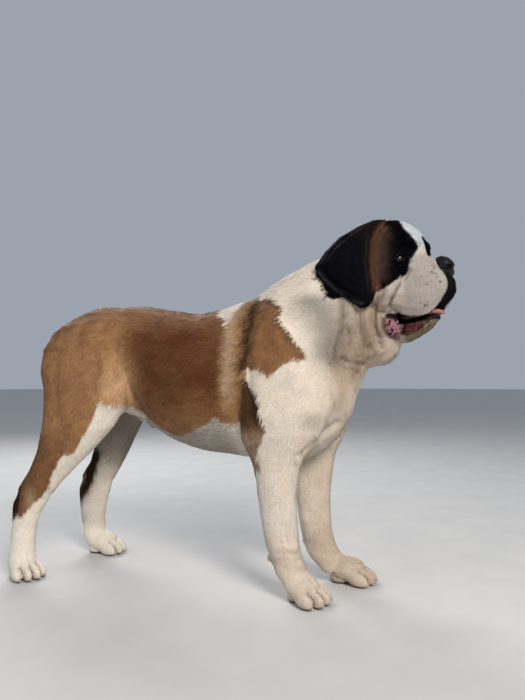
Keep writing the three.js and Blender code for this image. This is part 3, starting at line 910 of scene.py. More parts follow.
def muzzle_spots(head_points, place, ragged):
    """Dark specks near the nose and low on the flews, and single flecks."""
    specks = lattice_noise(head_points, 5.5, 41) + 0.35 * lattice_noise(head_points, 2.5, 44)
    near_nose = bump_at(place * (1, 0, 1), (152, 0, -38), (16, 1, 26))
    low_flew = bump_at(place * (1, 0, 1), (126, 0, -124), (30, 1, 18))
    spots = step_between(specks, 0.55, 0.9) * np.clip(0.6 * near_nose + low_flew, 0, 1)
    for middle, reach in FLECKS:
        own = bump_at(mirrored(head_points) + 0.5 * ragged, middle, (reach, 2 * reach, reach))
        spots = np.maximum(spots, step_between(own, 0.3, 0.7))
    return spots * (place[:, 0] > 80)


def pale_fur(head_points, place, made):
    """The body's white, duller on the face, cool with painted shade on the forehead, and grey on the
    muzzle, partly grey fur and partly painted shade.
    """
    soft = 0.5 + 0.5 * lattice_noise(head_points, 18, 31)
    on_face = step_between(head_points[:, 0], -30, 40)
    muzzle = zone(place[:, 0], (70, 104)) * zone(place[:, 2], fall=(-10, 14))
    white = mixed(made, FACE_WHITE, on_face * (1 - 0.3 * soft))
    # painted cool shade on the forehead and crown
    white = mixed(white, FOREHEAD_SHADE_WHITE, zone(place[:, 2], (0, 30)))
    # grey muzzle fur and painted shade below the muzzle's top
    return mixed(white, MUZZLE_GREY_AND_SHADE, muzzle * (0.55 + 0.4 * soft))


def round_nose(head_points, place):
    """1 on the black skin that frames the nose, and below it down the front of the lip."""
    front = zone(place[:, 0], (138, 150)) * zone(-place[:, 2], (38, 46))
    front *= zone(np.abs(head_points[:, 1] + 8), fall=(28, 33))
    return np.maximum(front, near_path(mirrored(head_points), NOSE_RIM, 5.5, 4))


def head_colour(head_points, made, ragged):
    """Markings of the head, from its own origin, over the body's, with painted shade in its creases."""
    place = head_points + 0.6 * ragged
    white = pale_fur(head_points, place, made)
    white = mixed(white, BLACK, 0.62 * muzzle_spots(head_points, place, ragged))
    made = mixed(white, mask_fur(head_points, place), mask_share(place))
    made = mixed(made, BLACK, 0.99 * round_nose(head_points, place))
    # painted shade in the creases
    return made * (1 - 0.5 * fold_shade(head_points))[:, None]


# Paths of the folds on the neck's left side, from the head's origin: painted shade down the side,
# olive-grey fur widened into painted shade under the ear, cream folds, and painted shade in the throat's
# crease
NECK_SIDE = [(-130, 122, -98), (-104, 118, -136), (-86, 114, -184), (-90, 124, -224)]
GREY_FOLDS = [(-46, 104, -110), (-46, 102, -150), (-50, 102, -200), (-62, 110, -240)]
CREAM_FOLDS = [(10, 84, -110), (0, 76, -160), (-10, 66, -215), (-34, 60, -264)]
THROAT_CREASE = [(-60, 104, -244), (-49, 88, -250), (-38, 69, -257), (-32, 40, -262)]


def creased_neck(head_points, made):
    """Olive-grey and cream fur among the folds below the ear, with painted shade down the neck's side,
    under the ear, along the throat's crease and in the creases, and painted light and shade of fine
    wrinkles.
    """
    sided = mirrored(head_points)
    soft = 0.75 + 0.25 * lattice_noise(head_points, 14, 91)
    below = step_between(-head_points[:, 2], 62, 104)
    pale = below * step_between(made.mean(1), 0.2, 0.3)
    # painted shade down the side of the neck below the ear
    side = near_path(sided, NECK_SIDE, 46) * pale
    # olive-grey fur, laid wide to paint the shade under the ear too
    grey = near_path(sided, GREY_FOLDS, 33) * soft * pale
    # painted shade in the throat's crease
    crease = near_path(sided, THROAT_CREASE, 6) * pale
    cream = near_path(sided, CREAM_FOLDS, 50) * pale
    made = mixed(made, NECK_SIDE_SHADE, 0.8 * side)
    made = mixed(made, NECK_CREAM, 0.8 * cream)
    made = mixed(made, GREY_FUR_AND_SHADE, 0.8 * grey)
    made = mixed(made, DARK_BROWN_AND_SHADE, 0.6 * crease)
    # painted light and shade of fine wrinkles
    wrinkle_shading = lattice_noise(head_points * (1, 0.5, 0.3), 4.5, 95)
    made = made * (1 + 0.22 * wrinkle_shading * np.maximum(grey, cream))[:, None]
    # painted shade in the creases of the head
    return made * (1 - 0.5 * fold_shade(head_points) * below)[:, None]


# The mouth's left side seen from the side, x and z: the pink lobe at its corner, the inner lip
LIP_LOBE = [
    (35, -146), (50, -146), (66, -150), (70, -166), (68, -186), (60, -194), (44, -195),
    (34, -184), (32, -165),
]
INNER_LIP = [
    (60, -142), (138, -146), (142, -155), (126, -168), (110, -182), (84, -189), (66, -188),
]
# slits where the lips fold apart and the open corner of the mouth, painted dark as shade
LIP_SLIT = [(70, -148), (75, -165), (73, -184)]
MOUTH_CORNER = [(43, -141), (55, -142), (70, -146)]
LOWER_EDGE = [(82, 40, -189), (94, 38, -191), (106, 36, -187)]
FRONT_LIP = [(120, 36, -152), (138, 27, -147), (148, 12, -146), (150, 0, -146)]


def on_lips(head_points, ragged):
    """Shares of the lips' parts: pink lobe, inner lip, slits painted dark as shade, black front."""
    sided = mirrored(head_points + 0.35 * ragged)
    wide = step_between(sided[:, 1], 28, 36)
    flat = sided[:, [0, 2]]
    below = sided[:, 2] < -140
    lobe = step_between(outline_depth(flat, LIP_LOBE), -3, 4) * wide * below
    inner = step_between(outline_depth(flat, INNER_LIP), -4, 4) * wide * below
    corner = near_path(flat, MOUTH_CORNER, 7.5, 6)
    slit = wide * np.maximum(near_path(flat, LIP_SLIT, 4.2, 4), corner)
    lower = near_path(sided, LOWER_EDGE, 4, 4)
    return lobe, inner, slit, np.maximum(near_path(sided, FRONT_LIP, 6.5, 4), lower)


def jaw_fur(head_points, made, specks):
    """The thin fur under the lip, speckled on the chin."""
    jaw = zone(head_points[:, 0], (66, 80)) * zone(-head_points[:, 2], (148, 156))
    chin = zone(head_points[:, 0], (88, 116)) * zone(-head_points[:, 2], (148, 152))
    made = mixed(made, JAW_FUR, 0.85 * jaw)
    made = mixed(made, FACE_WHITE, 0.5 * chin * step_between(-specks, 0.1, 0.5))
    return mixed(made, LIP_BLACK, 0.75 * chin * step_between(specks, 0.15, 0.5))


def inner_lip(head_points, specks):
    # reddish inner lip, darkened in part as painted shade under the flew
    reddish = mixed(MOUTH_RED, LIP_BROWN, step_between(head_points[:, 0], 96, 124))
    return mixed(reddish, MOUTH_DARK_AND_SHADE, 0.75 * step_between(specks, -0.3, 0.4))


def spotted_lobe(head_points, specks, deep):
    """Pink with black spots, darker towards the rear with more of them, and with painted shade towards its
    edge.
    """
    rear = 0.35 * (1 - step_between(head_points[:, 0], 38, 52))
    spotted = mixed(LIP_PINK, LIP_BLACK, step_between(specks + rear, 0.26, 0.5))
    return spotted * (0.5 + 0.5 * step_between(deep, 0, 13))[:, None]


def mouth_colour(head_points, made, inside, ragged):
    """The mouth's lining, dark with painted shade inside the mouth, its lips with their slits painted dark
    as shade, and the spotted lobe at its corner.
    """
    lobe, inner, slit, black = on_lips(head_points, ragged)
    specks = lattice_noise(head_points, 4.5, 51) + 0.3 * lattice_noise(head_points, 2, 54)
    deep = outline_depth(head_points[:, [0, 2]], LIP_LOBE)
    around = np.exp(-(((deep + 1) / 5) ** 2)) * zone(-head_points[:, 2], (140, 148))
    around *= step_between(np.abs(head_points[:, 1]), 28, 36)
    # painted shade inside the mouth
    lining = mixed(MOUTH_DARK_AND_SHADE, LIP_BLACK, 0.5 + 0.5 * specks)
    made = jaw_fur(head_points, made, specks)
    made = mixed(made, inner_lip(head_points, specks), inner)
    made = mixed(made, LIP_BROWN, 0.75 * around)
    made = mixed(made, spotted_lobe(head_points, specks, deep), lobe)
    # painted shade in the slits and the open corner of the mouth
    made = mixed(made, LIP_BLACK, slit)
    made = mixed(made, LIP_BLACK, black)
    return mixed(made, lining, inside)


def lid_colour(head_points, made):
    for side in (1, -1):
        seen, reach, opening = seen_from_eye(head_points, side)
        near = (reach < 1.8) & (seen[:, 2] > 0)
        rim = near * step_between(opening, -0.2, -0.1)
        made = mixed(made, LIP_BLACK, rim)
        haw = near * step_between(opening, -0.03, 0.01) * (seen[:, 1] < -0.05)
        made = mixed(made, HAW, haw * 0.6)
    return made


def paw_colour(points, regions, made):
    for paw, (x, y, turn, length, width) in PAW_PLACES.items():
        own = is_in(regions, [paw])
        local = turned(points - (x, y, 0), math.radians(-turn))
        for between in GAPS:
            gap = toe_gap(local, between * width, length)
            # painted shade in the gaps between the toes
            made = mixed(made, TOE_GAP_SHADE, 0.8 * own * gap * (1 - step_between(local[:, 2], 30, 46)))
        sole = own * (1 - step_between(points[:, 2], 3, 8))
        made = mixed(made, PAD, sole)
    return made


# Painted highlights along the ears' edges seen from the side, the rolled rear one and the front one: how
# pale, x and z
EAR_RIM_HIGHLIGHTS = [
    (0.5, [(-123, -24), (-107, -44), (-87, -63), (-67, -81), (-46, -96), (-24, -108), (-6, -113)]),
    (0.12, [(8, 62), (4, 24), (3, -20), (7, -60), (13, -92)]),
]


def ear_colour(head_points, ragged):
    place = head_points + 0.4 * ragged
    side_view = place[:, [0, 2]]
    sheen = bump_at(place * (1, 0, 1), (-6, 0, 72), (32, 1, 24))
    sheen += 0.5 * bump_at(place * (1, 0, 1), (18, 0, 20), (7, 1, 60))
    soft = 0.7 + 0.3 * lattice_noise(head_points, 20, 61)
    made = mixed(EAR_BLACK, EAR_SHEEN, np.clip(sheen * soft, 0, 1))
    made = mixed(made, STRIPE_BROWN, 0.65 * near_path(side_view, EAR_STRIPE, 7))
    # painted highlights along the rolled rear edge and the front edge
    rims = [share * near_path(side_view, path, 2.6) for share, path in EAR_RIM_HIGHLIGHTS]
    return mixed(made, EAR_HIGHLIGHT_GREY, soft * sum(rims))


def coat_colour(points, regions, inside, ragged):
    """One colour for each point of skin or root of a tuft."""
    head_points = dog_to_head(points)
    head_ragged = turned(ragged, -HEAD_TURN)
    on_head = is_in(regions, FACE)
    near_head = on_head | is_in(regions, ["neck"])
    made = body_colour(points, ragged)
    made[on_head] = head_colour(head_points, made, head_ragged)[on_head]
    behind = near_head & ~on_head & (head_points[:, 2] < -20)
    mask_edge = outline_depth((head_points + 0.4 * head_ragged)[behind][:, [0, 2]], MASK)
    made[behind] = mixed(made[behind], BLACK, step_between(mask_edge, -2, 2))
    creased = near_head | is_in(regions, ["chest"])
    made[creased] = creased_neck(head_points[creased], made[creased])
    made[on_head] = mouth_colour(head_points, made, inside, head_ragged)[on_head]
    made[on_head] = lid_colour(head_points, made)[on_head]
    made[is_in(regions, ["nose"])] = LIP_BLACK
    ears = is_in(regions, EARS)
    made[ears] = ear_colour(head_points, head_ragged)[ears]
    return np.clip(paw_colour(points, regions, made), 0, 1)


def ragged_edges(points):
    return noise_vector(points, 14, 71) * 3.5 + noise_vector(points, 4, 74) * 1.5


# Lie of the coat, left side: place, then direction
BODY_LIE = [
    ((-40, 50, 790), (-0.9, 0.0, -0.25)),
    ((30, 100, 700), (-0.5, 0.1, -0.85)),
    ((130, 40, 620), (-0.35, 0.0, -0.95)),
    ((130, 20, 500), (-0.3, 0.15, -0.95)),
    ((60, 40, 400), (-0.7, 0.0, -0.6)),
    ((-150, 20, 760), (-1.0, 0.0, -0.1)),
    ((-60, 140, 600), (-0.5, 0.0, -0.85)),
    ((-60, 150, 450), (-0.35, 0.0, -0.95)),
    ((-120, 150, 370), (-0.5, 0.0, -0.85)),
    ((-60, 110, 230), (-0.15, 0.0, -1.0)),
    ((-40, 95, 110), (-0.05, 0.0, -1.0)),
    ((-250, 140, 560), (-0.9, 0.0, -0.45)),
    ((-300, 60, 340), (-1.0, 0.1, -0.05)),
    ((-300, 40, 750), (-1.0, 0.1, -0.1)),
    ((-450, 30, 745), (-1.0, 0.1, -0.05)),
    ((-430, 120, 560), (-0.85, 0.0, -0.5)),
    ((-500, 100, 480), (-0.35, 0.1, -0.95)),
    ((-680, 60, 730), (-0.85, 0.2, -0.5)),
    ((-620, 140, 600), (-0.6, 0.1, -0.8)),
    ((-560, 150, 470), (-0.4, 0.0, -0.95)),
    ((-760, 110, 520), (-0.45, 0.1, -0.9)),
    ((-680, 140, 350), (-0.45, 0.0, -0.9)),
    ((-790, 145, 230), (-0.2, 0.0, -1.0)),
    ((-800, 140, 120), (0.0, 0.0, -1.0)),
    ((-30, 90, 40), (0.8, 0.0, -0.6)),
    ((30, 90, 25), (0.95, 0.0, -0.35)),
    ((-770, 134, 40), (0.8, 0.0, -0.6)),
    ((-820, 10, 600), (-0.15, 0.0, -1.0)),
    ((-825, 0, 330), (0.0, 0.0, -1.0)),
]

# Lie of the coat on the head's left side, from the head's origin
HEAD_LIE = [
    ((150, 10, 5), (-1.0, 0.15, 0.1)),
    ((118, 20, 40), (-0.5, 0.3, 0.8)),
    ((90, 20, 78), (-0.8, 0.25, 0.5)),
    ((50, 20, 103), (-1.0, 0.3, 0.0)),
    ((-20, 30, 100), (-1.0, 0.2, -0.2)),
    ((86, 50, 38), (-0.6, 0.5, 0.6)),
    ((60, 78, 0), (-0.9, 0.2, -0.25)),
    ((30, 92, -40), (-0.7, 0.1, -0.7)),
    ((60, 84, -80), (-0.6, 0.2, -0.8)),
    ((20, 85, -120), (-0.5, 0.0, -0.9)),
    ((110, 58, -60), (-0.7, 0.25, -0.65)),
    ((150, 45, -50), (-0.7, 0.4, -0.6)),
    ((165, 30, -90), (-0.3, 0.3, -0.9)),
    ((120, 55, -135), (-0.4, 0.0, -0.95)),
    ((120, 20, -165), (-0.7, 0.0, -0.7)),
    ((40, 30, -198), (-0.95, 0.0, -0.3)),
    ((-20, 40, -240), (-0.7, 0.0, -0.7)),
    ((20, 70, 60), (-0.9, 0.3, -0.1)),
    ((-60, 100, -100), (-0.6, 0.0, -0.8)),
    ((-40, 95, 60), (-0.7, 0.1, -0.7)),
    ((-60, 110, 0), (-0.35, 0.0, -0.95)),
    ((0, 108, -60), (-0.1, 0.0, -1.0)),
    ((-90, 108, -40), (-0.3, 0.0, -0.95)),
]


def led(points, guides, reach):
    """The direction that nearby guides give each point, mirrored on the right."""
    sided = mirrored(points)
    total = np.zeros_like(points)
    for place, direction in guides:
        away = ((sided - place) ** 2).sum(1)
        weight = np.exp(-away / reach**2) + 1e-4 * reach**4 / (away + reach**2) ** 2
        total += weight[:, None] * unit(np.array([direction]))
    total[:, 1] *= np.sign(points[:, 1])
    return unit(total)


def coat_lie(points, regions):
    on_body = led(points, BODY_LIE, 90)
    on_head = turned(led(dog_to_head(points), HEAD_LIE, 34), HEAD_TURN)
    return np.where(is_in(regions, FACE + EARS)[:, None], on_head, on_body)


# Hair of each part: length, width of a tuft, how far the skin lies under the coat
HAIR = {
    "head": (5.5, 1.0, 0.8),
    "lower_jaw": (5.5, 1.0, 0.7),
    "nose": (2.0, 0.8, 1.6),
    "eye": (3.0, 0.8, 0.3),
    "ear": (6.5, 1.1, 0.7),
    "neck": (13, 1.5, 1.8),
    "chest": (14, 1.6, 2.0),
    "barrel": (14, 1.6, 2.0),
    "hindquarters": (14, 1.6, 2.0),
    "tail": (14, 1.6, 2.2),
    "thigh": (14, 1.6, 2.0),
    "hock": (8, 1.4, 1.4),
    "forearm": (10, 1.5, 1.6),
    "fore_paw": (5.5, 1.1, 0.9),
    "hind_paw": (5.5, 1.1, 0.9),
}
HAIR_LENGTH, TUFT_WIDTH, SKIN_DEPTH = range(3)
SPREAD_ROUNDS = 25  # over which hair changes from one region to the next

# Under the chin, where hair is longer, from the head's origin
CHIN = [(40, 0, -204), (84, 0, -202), (114, 0, -186), (136, 0, -168)]


def hair_field(regions, column, links):
    own = [HAIR[r.removeprefix("left_").removeprefix("right_")][column] for r in REGIONS]
    return spread(np.array(own)[regions], links, SPREAD_ROUNDS)


def hair_length(points, regions, links):
    """Hair is shortest on the muzzle, round the eyes and up the forehead, longer on the chin."""
    length = hair_field(regions, HAIR_LENGTH, links)
    head = dog_to_head(points)
    on_head = is_in(regions, FACE)
    muzzle = on_head * step_between(head[:, 0], 88, 120) * (head[:, 2] > -148)
    forehead = on_head * step_between(head[:, 2], 20, 50)
    eyes = on_head * (1 - step_between(eye_nearness(head), 1.8, 3.4))
    length = length * (1 - 0.42 * muzzle) * (1 - 0.22 * forehead) * (1 - 0.45 * eyes)
    below = np.stack([head[:, 0], 0.35 * head[:, 1], head[:, 2]], 1)
    chin = on_head * near_path(below, CHIN, 12)
    throat = is_in(regions, ["neck"]) * step_between(head[:, 0], -170, -70)
    return length * (1 + 0.9 * chin) * (1 - 0.4 * throat)


# Box round the mouth, from the head's origin, and how close the other side of its lining lies
MOUTH_BOX = np.array([(36, -50, -178), (176, 50, -98)])
MOUTH_SPAN = 75.0


def mouth_inside(points, faces, regions):
    """1 on the lining of the mouth, which faces more of the mouth close by."""
    near = within(dog_to_head(points), MOUTH_BOX, 0)
    near = near[is_in(regions, FACE)[near]]
    tree = BVHTree.FromPolygons(points.tolist(), faces.tolist())
    normals = point_normals(points, faces)
    inside = np.zeros(len(points))
    for index in near:
        start = Vector(points[index] + normals[index])
        _, _, _, reach = tree.ray_cast(start, Vector(normals[index]), MOUTH_SPAN)
        inside[index] = reach is not None
    return inside


def bareness(points, regions, inside):
    """1 where no hair grows: the mouth, the rims of the eyes, the nose and the soles."""
    head = dog_to_head(points)
    bare = inside.copy()
    for side in (1, -1):
        seen, reach, opening = seen_from_eye(head, side)
        bare = np.maximum(bare, (reach < 1.7) & (seen[:, 2] > 0) & (opening > -0.16))
    bare = np.maximum(bare, is_in(regions, ["nose"]))
    lips = np.max(on_lips(head, np.zeros_like(head)), 0) * is_in(regions, FACE)
    bare = np.maximum(bare, step_between(lips, 0.35, 0.65))
    bare = np.maximum(bare, is_in(regions, PAWS) & (points[:, 2] < 5))
    return bare


# Coat pieces: the regions each covers, how many tufts, and a material slot
COAT = {
    "coat_head": (("head", "lower_jaw"), 66_000, "coat_white"),
    "coat_ears": (EARS, 34_000, "coat_black"),
    "coat_neck": (("neck",), 60_000, "coat_white"),
    "coat_chest": (("chest",), 64_000, "coat_white"),
    "coat_barrel": (("barrel",), 60_000, "coat_red"),
    "coat_rump": (("hindquarters", "tail"), 52_000, "coat_red"),
    "coat_thighs": (("left_thigh", "right_thigh"), 50_000, "coat_red"),
    "coat_forelegs": (
        ("left_forearm", "right_forearm", "left_fore_paw", "right_fore_paw"),
        56_000,
        "coat_white",
    ),
    "coat_hind_feet": (
        ("left_hock", "right_hock", "left_hind_paw", "right_hind_paw"),
        40_000,
        "coat_white",
    ),
}

# A tuft: how far it stands off the skin, how its length and width vary, how deep its root lies,
# how far its direction strays in patches and by itself, tones and patch of its five corners
LIFT = math.radians(4.6)
LENGTHS = (0.7, 1.25)
WIDTHS = (0.7, 1.3)
ROOT_DEPTH = 0.35
STRAY = (0.16, 0.10)
TUFT_TONES = np.array([-0.16, -0.16, -0.03, -0.03, 0.08])
TUFT_PATCH = np.array([(-1, -1), (1, -1), (-1, 0), (1, 0), (0, 1)]) * 0.0015


# Regions that are unwrapped round the dog's length even where they are higher than long
LYING = FACE + ("neck", "chest", "barrel", "hindquarters")


def unwrapped(points, regions, names):
    """A place on a flat unwrap of the skin: each region rolled off its long axis into a strip."""
    flat = np.zeros((len(points), 2))
    for strip, name in enumerate(names):
        own = np.flatnonzero(is_in(regions, [name]))
        if not len(own):
            continue
        places = points[own]
        upright = np.ptp(places[:, 2]) > np.ptp(places[:, 0]) and name not in LYING
        long_axis, other = (2, 0) if upright else (0, 2)
        span = places[:, long_axis]
        along = (span - span.min()) / np.ptp(span)
        middle = (places.max(0) + places.min(0)) / 2
        angle = np.arctan2(places[:, 1] - middle[1], places[:, other] - middle[other])
        flat[own, 0] = (strip + 0.03 + 0.94 * (angle / math.tau + 0.5)) / len(names)
        flat[own, 1] = 0.02 + 0.96 * along
    return flat


def scattered(skin, names, count, seed):
    """Roots over the triangles of some regions: triangle numbers and shares of its corners."""
    draw = np.random.default_rng(seed)
    corner = skin["regions"][skin["faces"]]
    own = is_in(corner[:, 0], names)
    area = np.linalg.norm(face_normals(skin["points"], skin["faces"]), axis=1)
    width = skin["width"][skin["faces"][:, 0]]
    length = skin["length"][skin["faces"][:, 0]]
    bare = skin["bare"][skin["faces"]].max(1)
    chance = own * area / (width * length) ** 0.7 * (1 - bare)
    chosen = draw.choice(len(area), count, p=chance / chance.sum())
    a, b = draw.random((2, count))
    over = a + b > 1
    a[over], b[over] = 1 - a[over], 1 - b[over]
    return chosen, np.stack([1 - a - b, a, b], 1), draw


def tuft_blades(roots, normals, lie, length, width, draw):
    """Tufts as thin blades of three triangles that bend back to the skin: corners and faces."""
    count = len(roots)
    across = np.cross(normals, lie)
    across = unit(across + normals * draw.normal(0, 0.22, count)[:, None])
    lift = LIFT * draw.uniform(0.4, 1.7, count) * (1 + 0.5 * lattice_noise(roots, 30, 85))
    lift *= 0.6 + 0.4 * step_between(length, 4, 12)
    rise = np.tan(lift)[:, None] * normals
    reach = length[:, None]
    half = 0.5 * width[:, None] * across
    base = roots - ROOT_DEPTH * normals
    mid = base + reach * (0.5 * lie + 0.55 * rise)
    tip = base + reach * (lie + 0.75 * rise)
    blades = np.stack([base - half, base + half, mid - 0.8 * half, mid + 0.8 * half, tip], 1)
    start = 5 * np.arange(count)[:, None, None]
    faces = (start + np.array([(0, 3, 1), (0, 2, 3), (2, 4, 3)])).reshape(-1, 3)
    return blades.reshape(-1, 3), faces


def tuft_tones(roots, regions, lie, length, draw):
    """The colour at each root, varied from tuft to tuft, and from root to tip."""
    count = len(roots)
    jitter = ragged_edges(roots) + lie * (0.25 * length * draw.normal(0, 1, count))[:, None]
    shade = coat_colour(roots, regions, np.zeros(count), jitter)
    bright = shade.mean(1) > 0.4
    vary = 1 + draw.normal(0, 1, count) * np.where(bright, 0.035, 0.15)
    shade = shade * np.clip(vary, 0.5, 1.5)[:, None]
    steps = 1 + TUFT_TONES * np.where(bright, 0.5, 1.0)[:, None]
    return np.clip(shade[:, None, :] * steps[:, :, None], 0, 1).reshape(-1, 3)


def tufted(name, skin, names, count, seed):
    """One coat piece over some regions of the skin."""
    chosen, shares, draw = scattered(skin, names, count, seed)
    corners = skin["faces"][chosen]

    def at_root(values):
        return (values[corners] * shares[:, :, None]).sum(1)

    roots = at_root(skin["points"])
    normals = unit(at_root(skin["normals"]))
    regions = skin["regions"][corners[:, 0]]
    length = at_root(skin["length"][:, None])[:, 0] * draw.uniform(*LENGTHS, count)
    width = at_root(skin["width"][:, None])[:, 0] * draw.uniform(*WIDTHS, count)
    lie = at_root(skin["lie"])
    lie = lie + STRAY[0] * noise_vector(roots, 22, 81) + STRAY[1] * draw.normal(size=(count, 3))
    lie = unit(lie - normals * (lie * normals).sum(1)[:, None])
    blades, faces = tuft_blades(roots, normals, lie, length, width, draw)
    mesh = mesh_from(name, blades, faces)
    facing = unit(normals + 0.12 * draw.normal(size=(count, 3)))
    mesh.normals_split_custom_set_from_vertices(np.repeat(facing, 5, 0).tolist())
    paint(mesh, tuft_tones(roots, regions, lie, length, draw))
    places = unwrapped(roots, regions, names)
    corner_places = (places[:, None, :] + TUFT_PATCH).reshape(-1, 2)[faces.ravel()]
    mesh.uv_layers.new(name="OFBake").data.foreach_set("uv", corner_places.ravel())
    return mesh


def paint(mesh, tones):
    layer = mesh.color_attributes.new(name="tone_and_painted_light", type="FLOAT_COLOR", domain="POINT")
    full = np.concatenate([tones, np.ones((len(tones), 1))], 1)
    layer.data.foreach_set("color", full.astype(np.float32).ravel())


def keep_value(mesh, name, values):
    layer = mesh.attributes.new(name=name, type="FLOAT", domain="POINT")
    layer.data.foreach_set("value", values.astype(np.float32))


# Materials


def set_inputs(node, values):
    """Sets inputs by name, with an underscore for each blank."""
    for socket, value in values.items():
        node.inputs[socket.replace("_", " ")].default_value = value


class Surface:
    """A material in the making: each call adds a node and gives back an output."""

    def __init__(self, name, **values):
        self.material = bpy.data.materials.new(name)
        self.material.use_nodes = True
        self.nodes = self.material.node_tree.nodes
        self.join = self.material.node_tree.links.new
        self.shader = self.nodes["Principled BSDF"]
        set_inputs(self.shader, values)

    def node(self, kind, **values):
        made = self.nodes.new(kind)
        set_inputs(made, values)
        return made

    def feed(self, socket, source):
        self.join(source, self.shader.inputs[socket])

    def attribute(self, name, output="Fac"):
        node = self.node("ShaderNodeAttribute")
        node.attribute_name = name
        return node.outputs[output]

    def noise(self, scale, stretch=(1, 1, 1)):
        place = self.node("ShaderNodeTexCoord")
        mapping = self.node("ShaderNodeMapping", Scale=stretch)
        noise = self.node("ShaderNodeTexNoise", Scale=scale, Detail=3.0)
        self.join(place.outputs["Object"], mapping.inputs["Vector"])
        self.join(mapping.outputs["Vector"], noise.inputs["Vector"])
        return noise.outputs["Fac"]

    def pebbles(self, scale):
        place = self.node("ShaderNodeTexCoord")
        cells = self.node("ShaderNodeTexVoronoi", Scale=scale)
        self.join(place.outputs["Object"], cells.inputs["Vector"])
        return cells.outputs["Distance"]

    def bump(self, height, distance):
        bump = self.node("ShaderNodeBump", Distance=distance, Strength=1.0)
        self.join(height, bump.inputs["Height"])
        self.feed("Normal", bump.outputs["Normal"])

    def ramp(self, source, *stops):
        """A tone for each value of a source; a tone is a colour or a grey."""
        ramp = self.node("ShaderNodeValToRGB")
        elements = ramp.color_ramp.elements
        for number, (place, tone) in enumerate(stops):
            element = elements[number] if number < 2 else elements.new(place)
            element.position = place
            element.color = (*(np.ones(3) * tone), 1)
        self.join(source, ramp.inputs["Fac"])
        return ramp.outputs["Color"]

    def between(self, source, low, high, top=1.0):
        """Values from 0 to top as ones from low to high."""
        spans = self.node("ShaderNodeMapRange", From_Max=top, To_Min=low, To_Max=high)
        self.join(source, spans.inputs["Value"])
        return spans.outputs["Result"]

    def paint(self, first, second):
        """The product of two tones as the shader's colour."""
        mix = self.node("ShaderNodeMix")
        mix.data_type = "RGBA"
        mix.blend_type = "MULTIPLY"
        set_inputs(mix, {"Factor": 1.0})
        self.join(first, mix.inputs["A"])
        self.join(second, mix.inputs["B"])
        self.feed("Base Color", mix.outputs["Result"])


def hair_surface(name, roughness, bump_distance):
    """Colour from the markings and their painted light and shade, broken by fine streaks of hair."""
    surface = Surface(name, Roughness=roughness)
    streaks = surface.noise(420, stretch=(0.35, 1, 0.6))
    tone = surface.ramp(streaks, (0.25, 0.78), (0.75, 1.0))
    surface.paint(surface.attribute("tone_and_painted_light", "Color"), tone)
    shine = surface.between(surface.attribute("tone_and_painted_light"), 0.02, 0.15, top=0.2)
    surface.feed("Specular IOR Level", shine)
    surface.bump(streaks, bump_distance)
    return surface


def skin_surface():
    """Hair-covered skin, smoother and wet where it is bare."""
    surface = hair_surface("skin", 0.7, 0.0012)
    surface.feed("Roughness", surface.between(surface.attribute("wet"), 0.7, 0.24))
    return surface


def nose_surface():
    """Black pebbled leather, dull in the nostrils, which are darkened as painted shade."""
    surface = Surface("nose_leather", Specular_IOR_Level=0.2)
    pebbles = surface.pebbles(620)
    nostril = surface.attribute("nostril")
    tone = surface.ramp(pebbles, (0.0, colour(18, 19, 22)), (0.6, colour(8, 8, 10)))
    # painted shade in the nostrils
    surface.paint(tone, surface.ramp(nostril, (0.0, 1.0), (1.0, 0.06)))
    surface.feed("Roughness", surface.between(nostril, 0.5, 0.9))
    surface.bump(pebbles, -0.00025)
    return surface


def tongue_surface():
    """Pink at the tip, with painted shade darkening it back in the mouth."""
    surface = Surface("tongue", Roughness=0.3, Subsurface_Weight=0.1)
    grain = surface.noise(500)
    tone = surface.ramp(grain, (0.3, colour(142, 82, 88)), (0.7, colour(172, 110, 114)))
    depth = surface.ramp(surface.attribute("forward"), (0.0, colour(70, 50, 50)), (1.0, 1.0))
    surface.paint(tone, depth)
    surface.bump(grain, 0.0006)
    return surface


def claw_surface():
    """Horn, streaked from dark to pale."""
    surface = Surface("claw_horn", Roughness=0.35)
    grain = surface.noise(260, stretch=(0.3, 1, 1))
    tone = surface.ramp(grain, (0.3, colour(120, 100, 84)), (0.75, colour(206, 192, 172)))
    surface.feed("Base Color", tone)
    surface.bump(grain, 0.0003)
    return surface


# Tones of the eye by how far they are from its axis: pupil, iris, dark ring, white
EYE_TONES = [
    (0.0, colour(6, 5, 5)),
    (0.20, colour(6, 5, 5)),
    (0.23, colour(44, 26, 16)),
    (0.42, colour(64, 38, 24)),
    (0.50, colour(18, 11, 9)),
    (0.56, colour(72, 56, 53)),
    (0.75, colour(66, 44, 43)),
]


def eye_surface():
    surface = Surface("eye", Roughness=0.08, Coat_Weight=1.0, Coat_Roughness=0.02)
    tone = surface.ramp(surface.attribute("off_axis"), *EYE_TONES)
    surface.paint(tone, surface.ramp(surface.noise(900), (0.3, 0.7), (0.7, 1.0)))
    return surface


# Small pieces


def dressed(name, mesh, surface, nodes=()):
    piece = shown(name, mesh)
    mesh.materials.clear()
    mesh.materials.append(surface.material)
    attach(piece, "root")
    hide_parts(*nodes)
    return piece


# Eyeball: how much smaller it is than the eye's node, and the cornea's rise and half width
EYE_INSET = 0.4
CORNEA_BULGE = 0.045  # of the radius
CORNEA_WIDTH = 0.42  # in radians from the axis


